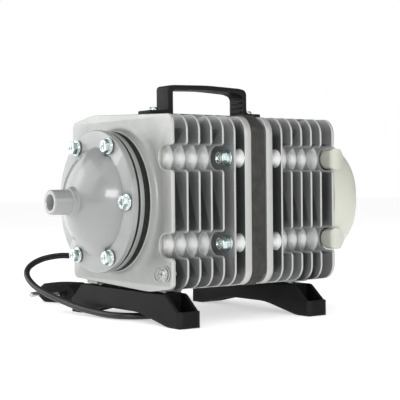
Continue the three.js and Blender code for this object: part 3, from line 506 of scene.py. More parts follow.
def foam():
    s = Shader("filter_foam", specular=0.2, sheen=0.3)
    holes = s.cells(900)
    base = s.ramp(holes, [(0.15, (0.012, 0.012, 0.012)), (0.5, (0.05, 0.05, 0.052))])
    return s.finish(base, s.span(holes, 0.2, 0.6, 0.95, 0.8), holes, 0.7)


CAST = cast_aluminium()
VALVE_PLATE = cast_aluminium("valve_plate_metal", 0.27, 0.3)
PAINT = painted_cover()
ZINC = zinc_plate()
DULL_ZINC = zinc_plate("dull_zinc", (0.42, 0.43, 0.42), (0.60, 0.61, 0.60), (0.38, 0.52))
STEEL = steel()
RUBBER = black_rubber()
SHEATH = lead_sheath()
FEET = black_plastic()
HANDLE = black_plastic("handle_plastic", 0.010, 0.018, (0.44, 0.56))
CREAM = cream_plastic()
IRON = laminated_iron()
COPPER = copper_winding()
NYLON = nylon()
FOAM = foam()


# ---- outlines ----
def arc(centre, radius, start, end, steps):
    angles = [start + (end - start) * i / steps for i in range(steps + 1)]
    return [(centre[0] + radius * math.cos(a), centre[1] + radius * math.sin(a)) for a in angles]


def circle(centre, radius, count, start=0.0):
    return arc(centre, radius, start, start + 2 * math.pi, count)[:-1]


def rounded(corners, closed=True, step=math.radians(11)):
    """A polygon whose corners (a, b, radius) are rounded by tangent arcs."""
    count = len(corners)
    points = []
    for i, (a, b, radius) in enumerate(corners):
        here = Vector((a, b))
        if radius <= 0 or (not closed and i in (0, count - 1)):
            points.append((a, b))
            continue
        before = Vector(corners[i - 1][:2]) - here
        after = Vector(corners[(i + 1) % count][:2]) - here
        u, v = before.normalized(), after.normalized()
        half = math.acos(max(-1, min(1, u.dot(v)))) / 2
        if half > math.radians(89.5):
            points.append((a, b))
            continue
        reach = min(radius / math.tan(half), 0.5 * before.length, 0.5 * after.length)
        radius = reach * math.tan(half)
        centre = here + (u + v).normalized() * (radius / math.sin(half))
        first, last = here + u * reach - centre, here + v * reach - centre
        start = math.atan2(first.y, first.x)
        sweep = (math.atan2(last.y, last.x) - start + math.pi) % (2 * math.pi) - math.pi
        points += arc(centre, radius, start, start + sweep, max(2, round(abs(sweep) / step)))
    return [p for i, p in enumerate(points) if (Vector(p) - Vector(points[i - 1])).length > 1e-4]


def inset(outline, distance):
    """The closed counter-clockwise outline moved inwards by distance."""
    moved = []
    count = len(outline)
    for i, point in enumerate(outline):
        before = Vector(point) - Vector(outline[i - 1])
        after = Vector(outline[(i + 1) % count]) - Vector(point)
        n1 = Vector((-before.y, before.x)).normalized()
        n2 = Vector((-after.y, after.x)).normalized()
        along = (n1 + n2).normalized()
        moved.append(tuple(Vector(point) + along * (distance / max(0.5, along.dot(n1)))))
    return moved


def counter_clockwise(outline):
    area = sum(p[0] * q[1] - q[0] * p[1] for p, q in zip(outline, outline[1:] + outline[:1]))
    return outline if area > 0 else outline[::-1]


def housing_outline(corner, notched, shrink=0.0):
    """The castings' section: flat middle, sloping shoulders, and U-shaped notches at the clamp bolts."""
    w, h, low = HALF_WIDTH - shrink, HALF_HEIGHT - shrink, CORNER_HEIGHT - shrink
    right = [(w, -low, corner)]
    for z in (-CLAMP_Z, CLAMP_Z) if notched else ():
        floor = CLAMP_Y - NOTCH_R
        right += [(w, z - NOTCH_R, 2.6), (floor, z - NOTCH_R, NOTCH_R), (floor, z + NOTCH_R, NOTCH_R),
                  (w, z + NOTCH_R, 2.6)]
    right += [(w, low, corner), (SHOULDER_Y, h, 60)]
    left = [(-a, -b, r) for a, b, r in right]
    crown_from, crown_rise = 50.0, 0.12
    return [(y, z + crown_rise * max(0.0, z - crown_from)) for y, z in rounded(right + left)]


# ---- meshes ----
def mesh_object(name, points, faces, smooth=32):
    mesh = bpy.data.meshes.new(name)
    mesh.from_pydata([tuple(place(p)) for p in points], [], faces)
    made = bmesh.new()
    made.from_mesh(mesh)
    bmesh.ops.remove_doubles(made, verts=made.verts, dist=1e-7)
    bmesh.ops.recalc_face_normals(made, faces=made.faces)
    made.to_mesh(mesh)
    made.free()
    piece = bpy.data.objects.new(name, mesh)
    bpy.context.scene.collection.objects.link(piece)
    soften(piece, smooth)
    return piece


def soften(piece, angle=32):
    piece.data.shade_smooth()
    piece.data.set_sharp_from_angle(angle=math.radians(angle))


def stacked(rings, closed=False):
    """Points and faces of equal rings joined in order, with a face over each end unless closed."""
    count = len(rings[0])
    points = [p for ring in rings for p in ring]
    faces = []
    for i in range(len(rings) - (0 if closed else 1)):
        low, high = i * count, ((i + 1) % len(rings)) * count
        for k in range(count):
            m = (k + 1) % count
            faces.append((low + k, low + m, high + m, high + k))
    if not closed:
        faces.append(tuple(range(count))[::-1])
        faces.append(tuple(range(len(points) - count, len(points))))
    return points, faces


AXES = {"x": lambda a, b, t: (t, a, b), "y": lambda a, b, t: (a, t, b), "z": lambda a, b, t: (a, b, t)}


def prism(name, outline, low, high, edge=0.5, axis="x", steps=3):
    """An outline pushed along an axis, with its two rims rounded by edge."""
    outline = counter_clockwise(outline)
    levels = []
    for i in range(steps + 1):
        a = math.pi / 2 * i / steps
        levels.append((low + edge * (1 - math.sin(a)), edge * (1 - math.cos(a))))
    levels = levels[::-1]
    levels += [(low + high - t, inward) for t, inward in levels[::-1]]
    rings = [[AXES[axis](a, b, t) for a, b in inset(outline, inward)] for t, inward in levels]
    return mesh_object(name, *stacked(rings))


def lathe(name, profile, sides=96, axis="x", centre=(0.0, 0.0)):
    """Turns (along, radius) pairs about an axis. A profile that starts and ends on the axis is solid."""
    solid = profile[0][1] < 1e-6 and profile[-1][1] < 1e-6
    rings = []
    for along, radius in profile[1:-1] if solid else profile:
        rings.append([AXES[axis](a, b, along) for a, b in circle(centre, radius, sides)])
    if not solid:
        return mesh_object(name, *stacked(rings, closed=True))
    return mesh_object(name, *stacked(rings))


def turned(corners, closed=False):
    """A lathe profile from (along, radius, rounding) corners."""
    return rounded(corners, closed=closed, step=math.radians(18))


def tube(low, high, inner, outer, inner_edge, outer_edge):
    """The closed lathe profile of a flat ring or a tube."""
    return turned([(low, inner, inner_edge), (low, outer, outer_edge), (high, outer, outer_edge),
                   (high, inner, inner_edge)], True)


def rectangle(a, b, half_a, half_b, radius):
    """A rounded rectangle about (a, b)."""
    return rounded([(a - half_a, b - half_b, radius), (a + half_a, b - half_b, radius),
                    (a + half_a, b + half_b, radius), (a - half_a, b + half_b, radius)])


def drilled(points, low, high, radius, sides=24):
    """A cutter along the bore at each (y, z) point."""
    return [bar("hole", low, high, radius, y, z, 0, sides) for y, z in points]


def bar(name, low, high, radius, y=0.0, z=0.0, edge=0.3, sides=48, axis="x"):
    profile = turned([(low, 0, 0), (low, radius, edge), (high, radius, edge), (high, 0, 0)])
    return lathe(name, profile, sides, axis, (y, z))


def block(name, x, y, z, edge=0.6):
    outline = rounded([(x[0], y[0], edge), (x[1], y[0], edge), (x[1], y[1], edge), (x[0], y[1], edge)])
    return prism(name, outline, z[0], z[1], edge, axis="z")


def combine(target, others, operation="UNION"):
    for other in others:
        modifier = target.modifiers.new("shape", "BOOLEAN")
        modifier.operation = operation
        modifier.solver = "MANIFOLD"
        modifier.object = other
    bpy.context.view_layer.update()
    shown = target.evaluated_get(bpy.context.evaluated_depsgraph_get())
    mesh = bpy.data.meshes.new_from_object(shown)
    target.modifiers.clear()
    target.data = mesh
    for other in others:
        bpy.data.objects.remove(other)
    soften(target)
    return target


def cut(target, others):
    return combine(target, others, "DIFFERENCE")


def dress(piece, material, slot, nodes=(), body=HOUSING):
    """Gives a piece its material, its record slot, its body and the CAD nodes that it stands for."""
    piece.data.materials.clear()
    piece.data.materials.append(material)
    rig.slot(piece, slot)
    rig.ride(piece, body)
    if nodes:
        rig.replaces(piece, *nodes)
    return piece


CLAMPS = [(y, z) for y in (-CLAMP_Y, CLAMP_Y) for z in (CLAMP_Z, -CLAMP_Z)]
COLUMNS = [(math.copysign(COLUMN_Y, y), z) for y, z in CLAMPS]
COVER_BOLTS = [(-COVER_BOLT_CIRCLE * math.cos(math.pi * i / 3), COVER_BOLT_CIRCLE * math.sin(math.pi * i / 3))
               for i in range(6)]


# ---- castings ----
def column(name, gaps, radius, y, z, flare):
    """A round boss through several fins, flared where it meets each of them."""
    profile = [(gaps[0][0] - 0.4, 0)]
    for low, high in gaps:
        for share in (0.0, 0.06, 0.15, 0.3, 0.5, 0.7, 0.85, 0.94, 1.0):
            spread = flare * abs(2 * share - 1) ** 2.5
            profile.append((low + (high - low) * share, radius + spread))
    profile.append((gaps[-1][1] + 0.4, 0))
    return lathe(name, profile, 40, "x", (y, z))


def gaps_between(plates):
    return [(low[1] - 0.3, high[0] + 0.3) for low, high in zip(plates, plates[1:])]


def fin_parts(fins, full):
    """The notched fins, and the full one that the clamp bolts bear on."""
    parts = [prism("fin", housing_outline(FIN_CORNER, True), *span, 0.7) for span in fins]
    return parts + [prism("fin", housing_outline(FIN_CORNER, False), *full, 0.7)]


def boss_parts(plates, sleeve_plates):
    """The wide bosses through the fins, and the thin sleeves round the clamp bolts."""
    parts = [column("column", gaps_between(plates), COLUMN_R, y, z, 1.6) for y, z in COLUMNS]
    return parts + [column("sleeve", gaps_between(sleeve_plates), 5.1, y, z, 1.5) for y, z in CLAMPS]


def handle_pad(fins):
    return block("handle_pad", (fins[1], fins[2] + FIN_THICK), (-9, 9), (43, HALF_HEIGHT - 0.1))


def foot_pads(x, top):
    return [block("foot_pad", x, across, (-58.3, top)) for across in ((-47, -33), (33, 47))]


def front_housing():
    fins = [(x, x + FIN_THICK) for x in FRONT_FINS]
    full = (FRONT_FULL_FIN, FRONT_FULL_FIN + FIN_THICK)
    body = prism("front_casting", housing_outline(FRONT_CORNER, True), *FRONT_PLATE, 0.7)
    parts = fin_parts(fins, full)
    parts.append(prism("flange", housing_outline(FIN_CORNER, False), *FRONT_FLANGE, 0.8))
    boss = [(-5.8, 0, 0), (-5.8, HEAD_R - 0.1, 0.5), (-4.2, HEAD_R + 0.1, 2), (-1.6, HEAD_R + 1.0, 5),
            (0.35, HEAD_R + 6.2, 3), (1.0, HEAD_R + 6.4, 0), (1.2, BARREL_R, 0),
            (FRONT_FLANGE[1] - 0.2, BARREL_R, 0), (FRONT_FLANGE[1] - 0.2, 0, 0)]
    parts.append(lathe("boss", turned(boss), 120))
    parts += boss_parts([FRONT_PLATE, *fins], [full, FRONT_FLANGE])
    parts.append(handle_pad(FRONT_FINS))
    parts += foot_pads((1.5, FRONT_FINS[0] + 1), -47)
    parts.append(block("lead_pad", (FRONT_FULL_FIN + 0.4, FRONT_FLANGE[1] - 0.3), (18, 64), (-49, -35.4), 1.2))
    parts.append(bar("earth_pad", -0.9, 1.2, 5.2, *EARTH_SCREW, 0.4))
    combine(body, parts)
    cavity = turned([(7.8, 29, 1), (7.8, CAVITY_R, 1.5), (FRONT_FLANGE[1] + 1, CAVITY_R, 0),
                     (FRONT_FLANGE[1] + 1, 29, 0)], True)
    holes = [lathe("cavity", cavity, 96), bar("mouth", 38, FRONT_FLANGE[1] + 1, 30, edge=0),
             bar("bore", -7, 39, 25.3, edge=0, sides=72), bar("lead_hole", 5, 66, 4.0, *LEAD_EXIT, 0, 32, "y")]
    holes += drilled(COVER_BOLTS, -7, 7, BOLT_HOLE_R)
    holes += drilled(CLAMPS, 49, 66, CLAMP_HOLE_R)
    holes.append(prism("pocket", rectangle(0, 0, 50.4, 46.4, 10), 61.6, 66, 0.3))
    cut(body, holes)
    return dress(body, CAST, "cast_aluminium", ["front_housing"])


def rear_housing():
    fins = [(x, x + FIN_THICK) for x in REAR_FINS]
    full = (REAR_FULL_FIN, REAR_FULL_FIN + FIN_THICK)
    body = prism("rear_casting", housing_outline(FIN_CORNER, False), *REAR_FLANGE, 0.8)
    parts = fin_parts(fins, full)
    parts.append(prism("end_plate", housing_outline(FIN_CORNER, True), *END_PLATE, 0.7))
    parts.append(bar("barrel", REAR_FLANGE[0] + 0.2, END_PLATE[1] - 0.2, BARREL_R, sides=120))
    parts += boss_parts([full, *fins, END_PLATE], [REAR_FLANGE, full])
    parts.append(handle_pad(REAR_FINS))
    parts += foot_pads((REAR_FINS[1] + 0.3, REAR_FINS[3] + 1), -40)
    combine(body, parts)
    holes = [bar("cavity", REAR_FLANGE[0] - 1, 118, CAVITY_R, edge=1, sides=96),
             bar("chamber", 121.5, END_PLATE[1] + 1, CAVITY_R, edge=1, sides=96)]
    holes += drilled(CLAMPS, 75, 93, CLAMP_HOLE_R)
    holes += drilled(COLUMNS, 131.7, 141, SCREW_HOLE_R)
    holes += drilled(circle((0, 0), 27, 6), 117, 123, 6, 32)
    cut(body, holes)
    combine(body, [bar("hub", 105, 121, 9.4)])
    cut(body, [bar("hub_bore", 104, 123, 6.9, edge=0)])
    return dress(body, CAST, "cast_aluminium", ["rear_housing"])


# ---- outlet end ----
def outlet_cover():
    ball = COVER_FACE + math.sqrt(DOME_BALL ** 2 - DOME_BASE ** 2)
    first, last = math.asin(DOME_BASE / DOME_BALL), math.asin(10.4 / DOME_BALL)
    dome = [(ball - DOME_BALL * math.cos(a), DOME_BALL * math.sin(a), 0)
            for a in (first + (last - first) * i / 24 for i in range(25))]
    corners = [(-14.9, 0, 0), (-14.9, HEAD_R, 0.4), (COVER_FACE + 0.5, HEAD_R, 1.1),
               (COVER_FACE, DOME_BASE + 1.0, 0.3)]
    corners += dome
    corners += [(-37.2, 9.6, 0.8), (-39.6, 9.3, 0.7), (-39.9, 8.35, 0.5), (NOZZLE_TIP, 8.15, 0.7),
                (NOZZLE_TIP, 0, 0)]
    cover = lathe("outlet_cover_shell", turned(corners), 144)
    inner = [(-14, 0, 0), (-14, 33.2, 0)]
    inner += [(ball - (DOME_BALL - 3.2) * math.cos(a), (DOME_BALL - 3.2) * math.sin(a), 0)
              for a in (math.asin(33.2 / (DOME_BALL - 3.2)) * (1 - i / 12) for i in range(13))]
    holes = [lathe("hollow", turned(inner), 96), bar("outlet", NOZZLE_TIP - 1, -15, 5.3, edge=0)]
    mouth = turned([(NOZZLE_TIP - 1, 0, 0), (NOZZLE_TIP - 1, 6.9, 0), (NOZZLE_TIP + 0.6, 5.2, 0),
                    (NOZZLE_TIP + 0.6, 0, 0)])
    holes.append(lathe("mouth", mouth, 48))
    holes += drilled(COVER_BOLTS, -25, -14, BOLT_HOLE_R)
    holes += drilled(COVER_BOLTS, -30, COVER_FACE + 0.12, 7.2, 40)
    cut(cover, holes)
    return dress(cover, PAINT, "painted_cover", ["outlet_cover"])


def head_stack():
    """The thin gasket, the bright valve plate and the thick gasket between the cover and the housing."""
    rim = HEAD_R - 0.5
    rings = [("cover_gasket_ring", -14.6, -13.4, 36.0, rim, 0.3, RUBBER, "black_rubber", "cover_gasket"),
             ("head_gasket_ring", -9.6, -6.1, 27.5, rim, 0.9, RUBBER, "black_rubber", "head_gasket"),
             ("valve_plate_disc", -13.1, -9.9, 0.0, rim + 0.2, 0.5, VALVE_PLATE, "cast_aluminium",
              "valve_plate")]
    for name, low, high, inner, outer, edge, material, slot, node in rings:
        if inner:
            piece = lathe(name, tube(low, high, inner, outer, 0.2, edge), 120)
        else:
            piece = bar(name, low, high, outer, edge=edge, sides=120)
        holes = drilled(COVER_BOLTS, low - 1, high + 1, BOLT_HOLE_R)
        if not inner:
            holes.append(bar("hole", low - 1, high + 1, 1.8, edge=0, sides=24))
            holes += drilled(circle((0, 0), 8.5, 6), low - 1, high + 1, 2.2)
        cut(piece, holes)
        dress(piece, material, slot, [node])


# ---- fasteners ----
def hex_head(name, low, high, y, z, phase):
    """A forged hexagon head with a dished, cross-recessed face towards -x."""
    across = 8.0
    radius = across / math.sqrt(3)
    hexagon = [(a, b, 0.35) for a, b in circle((y, z), radius, 6, phase)]
    head = prism(name, rounded(hexagon), low, high, 0.15)
    crown = turned([(low, 0, 0), (low, across * 0.46, 0.3), (low + 0.9, radius + 0.3, 0),
                    (high + 1, radius + 0.3, 0),
                    (high + 1, 0, 0)])
    combine(head, [lathe("crown", crown, 48, "x", (y, z))], "INTERSECT")
    dish = turned([(low - 1, 0, 0), (low - 1, 3.3, 0), (low + 0.1, 3.1, 0), (low + 0.7, 2.3, 0.3),
                   (low + 0.75, 0, 0)])
    slots = [lathe("dish", dish, 40, "x", (y, z))]
    for turn in (0, 1):
        wide, tall = (2.1, 0.42) if turn else (0.42, 2.1)
        slots.append(prism("slot", rectangle(y, z, wide, tall, 0.2), low - 1, low + 2.2, 0.1))
    return cut(head, slots)


def washer(name, low, high, outer, inner, y, z):
    return lathe(name, tube(low, high, inner, outer, 0.1, 0.35), 56, "x", (y, z))


def spring_washer(low, high, outer, inner, y, z):
    """A split ring whose ends stand slightly apart along x."""
    rings = []
    steps = 44
    for i in range(steps + 1):
        a = 0.10 + (2 * math.pi - 0.20) * i / steps
        middle = (low + high) / 2 + 0.35 * (i / steps - 0.5)
        half = (high - low) / 2 - 0.12
        rings.append([(middle + s * half, y + r * math.cos(a), z + r * math.sin(a))
                      for s, r in ((-1, inner), (-1, outer), (1, outer), (1, inner))])
    return mesh_object("spring_washer", *stacked(rings))


def cover_bolts():
    for i, (y, z) in enumerate(COVER_BOLTS):
        seat = COVER_FACE
        head = hex_head(f"cover_bolt_head_{i + 1}", seat - 5.3, seat - 1.5, y, z, 0.5 * i + 0.2)
        rest = [bar("collar", seat - 1.9, seat - 1.35, 4.7, y, z, 0.2),
                washer("washer", seat - 1.45, seat - 0.25, 5.3, 2.3, y, z),
                bar("shank", seat - 2, 6, 2.5, y, z, 0.4)]
        dress(combine(head, rest), ZINC, "zinc_plated", [f"cover_bolt_{i + 1}"])


def clamp_bolts():
    for i, (y, z) in enumerate(CLAMPS):
        seat = FRONT_FULL_FIN - 0.3
        head = hex_head(f"clamp_bolt_head_{i + 1}", seat - 7.4, seat - 3.1, y, z, 0.35 + 0.4 * i)
        rest = [bar("collar", seat - 3.4, seat - 2.9, 4.6, y, z, 0.2),
                washer("washer", seat - 1.3, seat - 0.1, 5.5, 2.3, y, z),
                spring_washer(seat - 2.9, seat - 1.3, 4.4, 2.3, y, z),
                bar("shank", seat - 4, 91, 2.5, y, z, 0.4)]
        dress(combine(head, rest), ZINC, "zinc_plated", [f"clamp_bolt_{i + 1}"])


def pan_screw(name, node, seat, tip, at, axis, way, radius=3.4, washer_r=0.0):
    """A cross-recessed pan-head screw along an axis; way is the side its head stands on."""
    top = seat + way * 2.3
    corners = [(top, 0, 0), (top, radius * 0.72, 0.9), (seat + way * 0.9, radius, 0.5),
               (seat + way * 0.05, radius, 0.2), (seat + way * 0.05, 1.6, 0), (tip, 1.6, 0.4), (tip, 0, 0)]
    screw = lathe(name, turned(corners), 40, axis, at)
    slots = []
    for wide, tall in ((2.0, 0.4), (0.4, 2.0)):
        span = sorted((top - way * 1.2, top + way * 1.0))
        slots.append(prism("slot", rectangle(*at, wide, tall, 0.15), *span, 0.1, axis))
    cut(screw, slots)
    if washer_r:
        profile = tube(seat - 0.1, seat + way * 0.8, 1.4, washer_r, 0.1, 0.3)
        combine(screw, [lathe("washer", profile, 48, axis, at)])
    return dress(screw, ZINC, "zinc_plated", [node])


def screws():
    for i, x in enumerate(HANDLE_SCREWS_X):
        pan_screw(f"handle_screw_head_{i + 1}", f"handle_screw_{i + 1}", 62.5, 53, (x, 0), "z", 1, 3.3)
    for i, (x, side) in enumerate((x, side) for x in FOOT_SCREWS_X for side in (-1, 1)):
        pan_screw(f"foot_screw_head_{i + 1}", f"foot_screw_{i + 1}", -63.2, -52.5, (x, side * FOOT_SCREW_Y),
                  "z", -1, 3.5)
    for i, (y, z) in enumerate(COLUMNS):
        pan_screw(f"cover_screw_head_{i + 1}", f"rear_cover_screw_{i + 1}", COVER_START + 3.2, 134.4,
                  (y, z), "x", 1, 3.3)
    screw = pan_screw("earth_screw_head", "earth_screw", -1.2, 7.5, EARTH_SCREW, "x", -1, 3.4, 4.3)
    dress(screw, DULL_ZINC, "zinc_plated", ["earth_screw"])
    earth_mark()


def earth_mark():
    """The standard earth sign, raised on the front plate beside its screw."""
    y, z = -46.6, -47.4
    ring = turned([(-0.45, 3.9, 0.1), (-0.45, 4.6, 0.15), (0.4, 4.6, 0), (0.4, 3.9, 0)], True)
    mark = lathe("earth_mark", ring, 56, "x", (y, z))
    strokes = [(0.28, 1.5, 0, 1.4), (2.2, 0.28, 0, 0.0), (1.4, 0.28, 0, -1.0), (0.7, 0.28, 0, -2.0)]
    bars = [prism("stroke", rectangle(y + dy, z + dz, wide, tall, 0.1), -0.4, 0.4, 0.1)
            for wide, tall, dy, dz in strokes]
    dress(combine(mark, bars), CAST, "cast_aluminium")


# ---- stator ----
def stator():
    half_y, half_z = 61.2, 57.6
    across, down = 10.5, 8.5

    def outline(shrink):
        a, b = half_y - shrink, half_z - shrink
        corners = [(a, b - down), (a - across, b), (-a + across, b), (-a, b - down)]
        corners += [(-y, -z) for y, z in corners]
        return rounded([(y, z, 0.8) for y, z in corners])

    low, high = STATOR_BAND
    rings = []
    sheets = 20
    pitch = (high - low) / sheets
    for i in range(sheets):
        proud = 0.10 * math.sin(i * 2.4)
        sunk = 1.4 if i in (0, sheets - 1) else 0.0
        for share, shrink in ((0.04, 0.22), (0.16, 0.06), (0.84, 0.06), (0.96, 0.22)):
            rings.append([(low + (i + share) * pitch, a, b) for a,
                          b in outline(max(0.0, sunk + shrink + proud * 0.5))])
    core = mesh_object("stator_laminations", *stacked(rings), smooth=20)
    combine(core, [prism("stack", rectangle(0, 0, 50, 46, 10), 62.0, 78.5, 0.4)])
    cut(core, [prism("window", rectangle(0, 0, 34, 35, 2), 61, 80, 0.05)])
    poles = [block("pole", (62.0, 78.5), (-14, 14), sorted((side * 15.5, side * 37)), 0.4) for side in (-1, 1)]
    combine(core, poles)
    holes = [bar("bore", 61, 80, 18.6, edge=0, sides=96)]
    holes += drilled(CLAMPS, 64, 76, CLAMP_HOLE_R)
    cut(core, holes)
    dress(core, IRON, "laminated_iron", ["stator_core"])


# ---- rear cover ----
def cover_dome(name, start, depth, half_y, half_z):
    """Half a superellipsoid bulging along +x; power squares its section and along its profile."""
    power, along, sides, steps = 2.4, 2.5, 176, 48
    rings = []
    for i in range(steps + 1):
        a = math.pi / 2 * min(1 - (1 - i / steps) ** 1.4, 0.996)
        ring = []
        for k in range(sides):
            turn = 2 * math.pi * k / sides
            c, q = math.cos(turn), math.sin(turn)
            reach = math.cos(a) ** (2 / along) / (abs(c) ** power + abs(q) ** power) ** (1 / power)
            ring.append((start + depth * math.sin(a) ** (2 / along), half_y * reach * c, half_z * reach * q))
        rings.append(ring)
    return mesh_object(name, *stacked(rings))


def rear_cover():
    depth, half_y, half_z, wall = 46.1, 62.7, 48.9, 2.4
    back = COVER_START + depth
    outside = (COVER_START, depth, half_y, half_z)
    shell = cover_dome("rear_cover_shell", *outside)
    hollow = cover_dome("hollow", COVER_START - 1, depth - wall + 1, half_y - wall, half_z - wall)
    cut(shell, [hollow])
    parts = []
    for y, z in CLAMPS:
        side = math.copysign(1, y)
        low, high = z - 7.3, z + 7.3
        corners = [(side * 48.6, low, 7.2), (side * 68, low, 4.5), (side * 68, high, 4.5),
                   (side * 48.6, high, 7.2)]
        ear = prism("ear", rounded(corners), END_PLATE[0], COVER_START + 26, 3.2, steps=6)
        profile = [(END_PLATE[0] - 0.01, 40, 0), (COVER_START + 26, 40, 0), (COVER_START + 26, 46.5, 0),
                   (COVER_START + 5, 62.6, 12), (END_PLATE[0] - 0.01, 62.6, 8)]
        flank = prism("flank", rounded([(x, side * across, r) for x, across, r in profile]), low - 1,
                      high + 1, 0.01, "z")
        tongue = [(END_PLATE[0] - 0.01, low, 0), (COVER_START + 6, low, 12), (COVER_START + 25, z, 5),
                  (COVER_START + 6, high, 12), (END_PLATE[0] - 0.01, high, 0)]
        taper = prism("taper", rounded(tongue), *sorted((side * 39, side * 70)), 0.01, "y")
        parts.append(combine(combine(ear, [flank], "INTERSECT"), [taper], "INTERSECT"))
    for y, z in COLUMNS:
        well = bar("well", COVER_START, back, 5.6, y, z, 0)
        parts.append(combine(well, [cover_dome("limit", *outside)], "INTERSECT"))
    combine(shell, parts)
    holes = [bar("screw_hole", COVER_START - 1, COVER_START + 4, 1.9, y, z, 0, 24) for y, z in COLUMNS]
    holes += [bar("well_bore", COVER_START + 3, back, 4, y, z, 0.3) for y, z in COLUMNS]
    for row in range(-2, 3):
        reach, middle = math.sqrt(20 ** 2 - (7 * row) ** 2), 7 * row
        holes.append(prism("inlet", rectangle(0, middle, reach, 1.6, 1.5), back - 8, back + 2, 0.05))
    cut(shell, holes)
    dress(shell, CREAM, "cream_plastic", ["rear_cover"])


# ---- handle ----
def handle():
    left, right, thick, base, half = 36.0, 105.0, 3.6, 59.3, 8.0
    top = 81.2
    outer = rounded([(left, base, 0), (right, base, 0), (right, top - 2.0, 7.5), (98, top - 0.9, 30),
                     (70, top, 160),
                     (left + 5, top - 0.9, 60), (left, top - 1.5, 3.0)])
    inner = rounded([(left + thick, base + 1.0, 0.3), (right - thick, base + 1.0, 0.3),
                     (right - thick, top - 6.6, 4.0),
                     (96, top - 4.5, 20), (70, top - 3.3, 160), (left + thick + 2, top - 4.3, 2),
                     (left + thick, top - 5.6, 0.8)])
    grip = prism("handle_strap", outer, -half, half, 1.3, "y", 4)
    opening = prism("opening", inner, -half - 1, half + 1, 0.01, "y")
    cut(grip, [opening])
    parts = []
    for x, end, way in ((left, 20.8, -1), (right, 117.5, 1)):
        span = sorted((x - way * 1.5, end))
        parts.append(block("flange", span, (-half, half), (base, base + 3), 0.7))
        flare = [(x - way, base + 0.6, 0), (x + way * 4.5, base + 2.6, 0.3),
                 (x + way * 0.3, base + 3.2, 2.5), (x - way * 0.2, base + 9, 0),
                 (x - way, base + 9, 0)]
        parts.append(prism("flare", rounded(flare), -half + 0.6, half - 0.6, 0.3, "y"))
    for i in range(4):
        z = base + 3.4 + 3.4 * i
        parts.append(block("rib", (right - thick - 0.9, right - thick + 1), (-half + 2, half - 2),
                           (z, z + 1.3), 0.3))
    combine(grip, parts)
    cut(grip, [bar("hole", base - 1, base + 4, 1.9, x, 0, 0, 24, "z") for x in HANDLE_SCREWS_X])
    dress(grip, HANDLE, "black_plastic", ["handle"])


# ---- feet ----
def foot(name, node, low, high, screw_x):
    reach, floor, arch, block_top, top = 70.0, -AXIS_HEIGHT, -73.5, -69.8, -59.6
    half = [(reach, floor, 1.5), (reach - 14.5, floor, 26), (21, arch, 60)]
    crest = [(reach - 16.5, top, 5), (reach - 4, block_top, 2), (reach, block_top, 1.5)]
    corners = [(-y, z, r) for y, z, r in half] + half[::-1] + crest[::-1] + [(-y, z, r) for y, z, r in crest]
    body = prism(name, rounded(corners), low, high, 1.0)
    plan = rectangle((low + high) / 2, 0, (high - low) / 2, reach, 4.5)
    combine(body, [prism("plan", plan, floor - 1, top + 1, 0.01, "z")], "INTERSECT")
    holes = []
    for way in (-1, 1):
        pocket = sorted((way * 49, way * (reach - 2.4)))
        holes.append(block("pocket", (low + 2.4, high - 2.4), pocket, (floor + 4, top + 1.5), 2.2))
        hollow = sorted((way * 20, way * 47))
        holes.append(block("hollow", (low + 2.4, high - 2.4), hollow, (floor - 1, top - 3.4), 1.2))
        holes.append(bar("hole", -75, top + 1, SCREW_HOLE_R, screw_x, way * FOOT_SCREW_Y, 0, 24, "z"))
    cut(body, holes)
    dress(body, FEET, "black_plastic", [node])


# ---- mains lead ----
COIL = {"x": 89.3, "y": 116.6, "r": 27.0}
LEAD_ROUTE = [
    (57.5, 74, -42), (57.5, 84, -42), (57.5, 92.4, -42), (57.1, 98.8, -42.1), (55.2, 105, -42.4),
    (51, 110.8, -42.8), (44.4, 115.2, -43.2), (36, 117.6, -43.5), (28.4, 119.2, -43.4), (20, 121.8, -43.2),
    (6.5, 124.2, -45.4), (-3.6, 122.8, -49.4), (-10, 117.6, -53.6), (-13.2, 109.8, -57.9),
              (-13.8, 98.2, -63.1),
    (-12.8, 82.6, -67.4), (-9.6, 62, -72), (-7.6, 42, -75.2), (-5.2, 25.6, -76.9), (-2.8, 10.4, -77.7),
    (0.6, -0.8, -77.7), (6.6, -8.1, -77.7), (14.4, -12.2, -77.7), (23.4, -12.6, -77.7), (32, -9, -77.7),
    (38.2, -2, -77.7), (41.1, 8, -77.7), (41.7, 22, -77.7), (41.6, 38, -77.7), (42.4, 52, -77.7),
    (45.2, 64.6, -77.7), (51.4, 75.2, -77.7), (60.4, 81, -77.7), (71, 82.4, -77.7),
]


def floor_z(height):
    return -AXIS_HEIGHT + height


def smooth_step(share):
    share = min(1.0, max(0.0, share))
    return share * share * (3 - 2 * share)


def coil_turns():
    """Four turns wound inwards on the floor, then three outwards on top of them, and away to the plug."""
    pitch = 2 * CORD_R + 0.12
    inwards = [COIL["r"] + pitch * share for share in (1.5, 0.5, -0.5, -1.5)]
    radii = inwards + inwards[-2::-1]
    heights = [CORD_R + 0.4] * 4 + [CORD_R + 0.4 + pitch] * 3
    last = len(radii) - 1
    start, leave = math.radians(-90), math.radians(30)
    total = leave - start + 2 * math.pi * last
    steps = 36 * (last + 1)
    points = []
    for i in range(steps + 1):
        angle = start + total * i / steps
        share = (last + 1) * i / steps
        k = min(int(share), last)
        after = min(k + 1, last)
        rising = heights[after] > heights[k]
        into = share - k
        lifted = smooth_step(into * 2) if rising else 0.0
        eased = smooth_step((into - 0.35) / 0.65) if rising else smooth_step(into)
        radius = radii[k] + (radii[after] - radii[k]) * eased
        height = heights[k] + (heights[after] - heights[k]) * lifted
        points.append((COIL["x"] + radius * math.cos(angle), COIL["y"] + radius * math.sin(angle),
                       floor_z(height)))
    return points + way_to_plug(points[-1], leave)


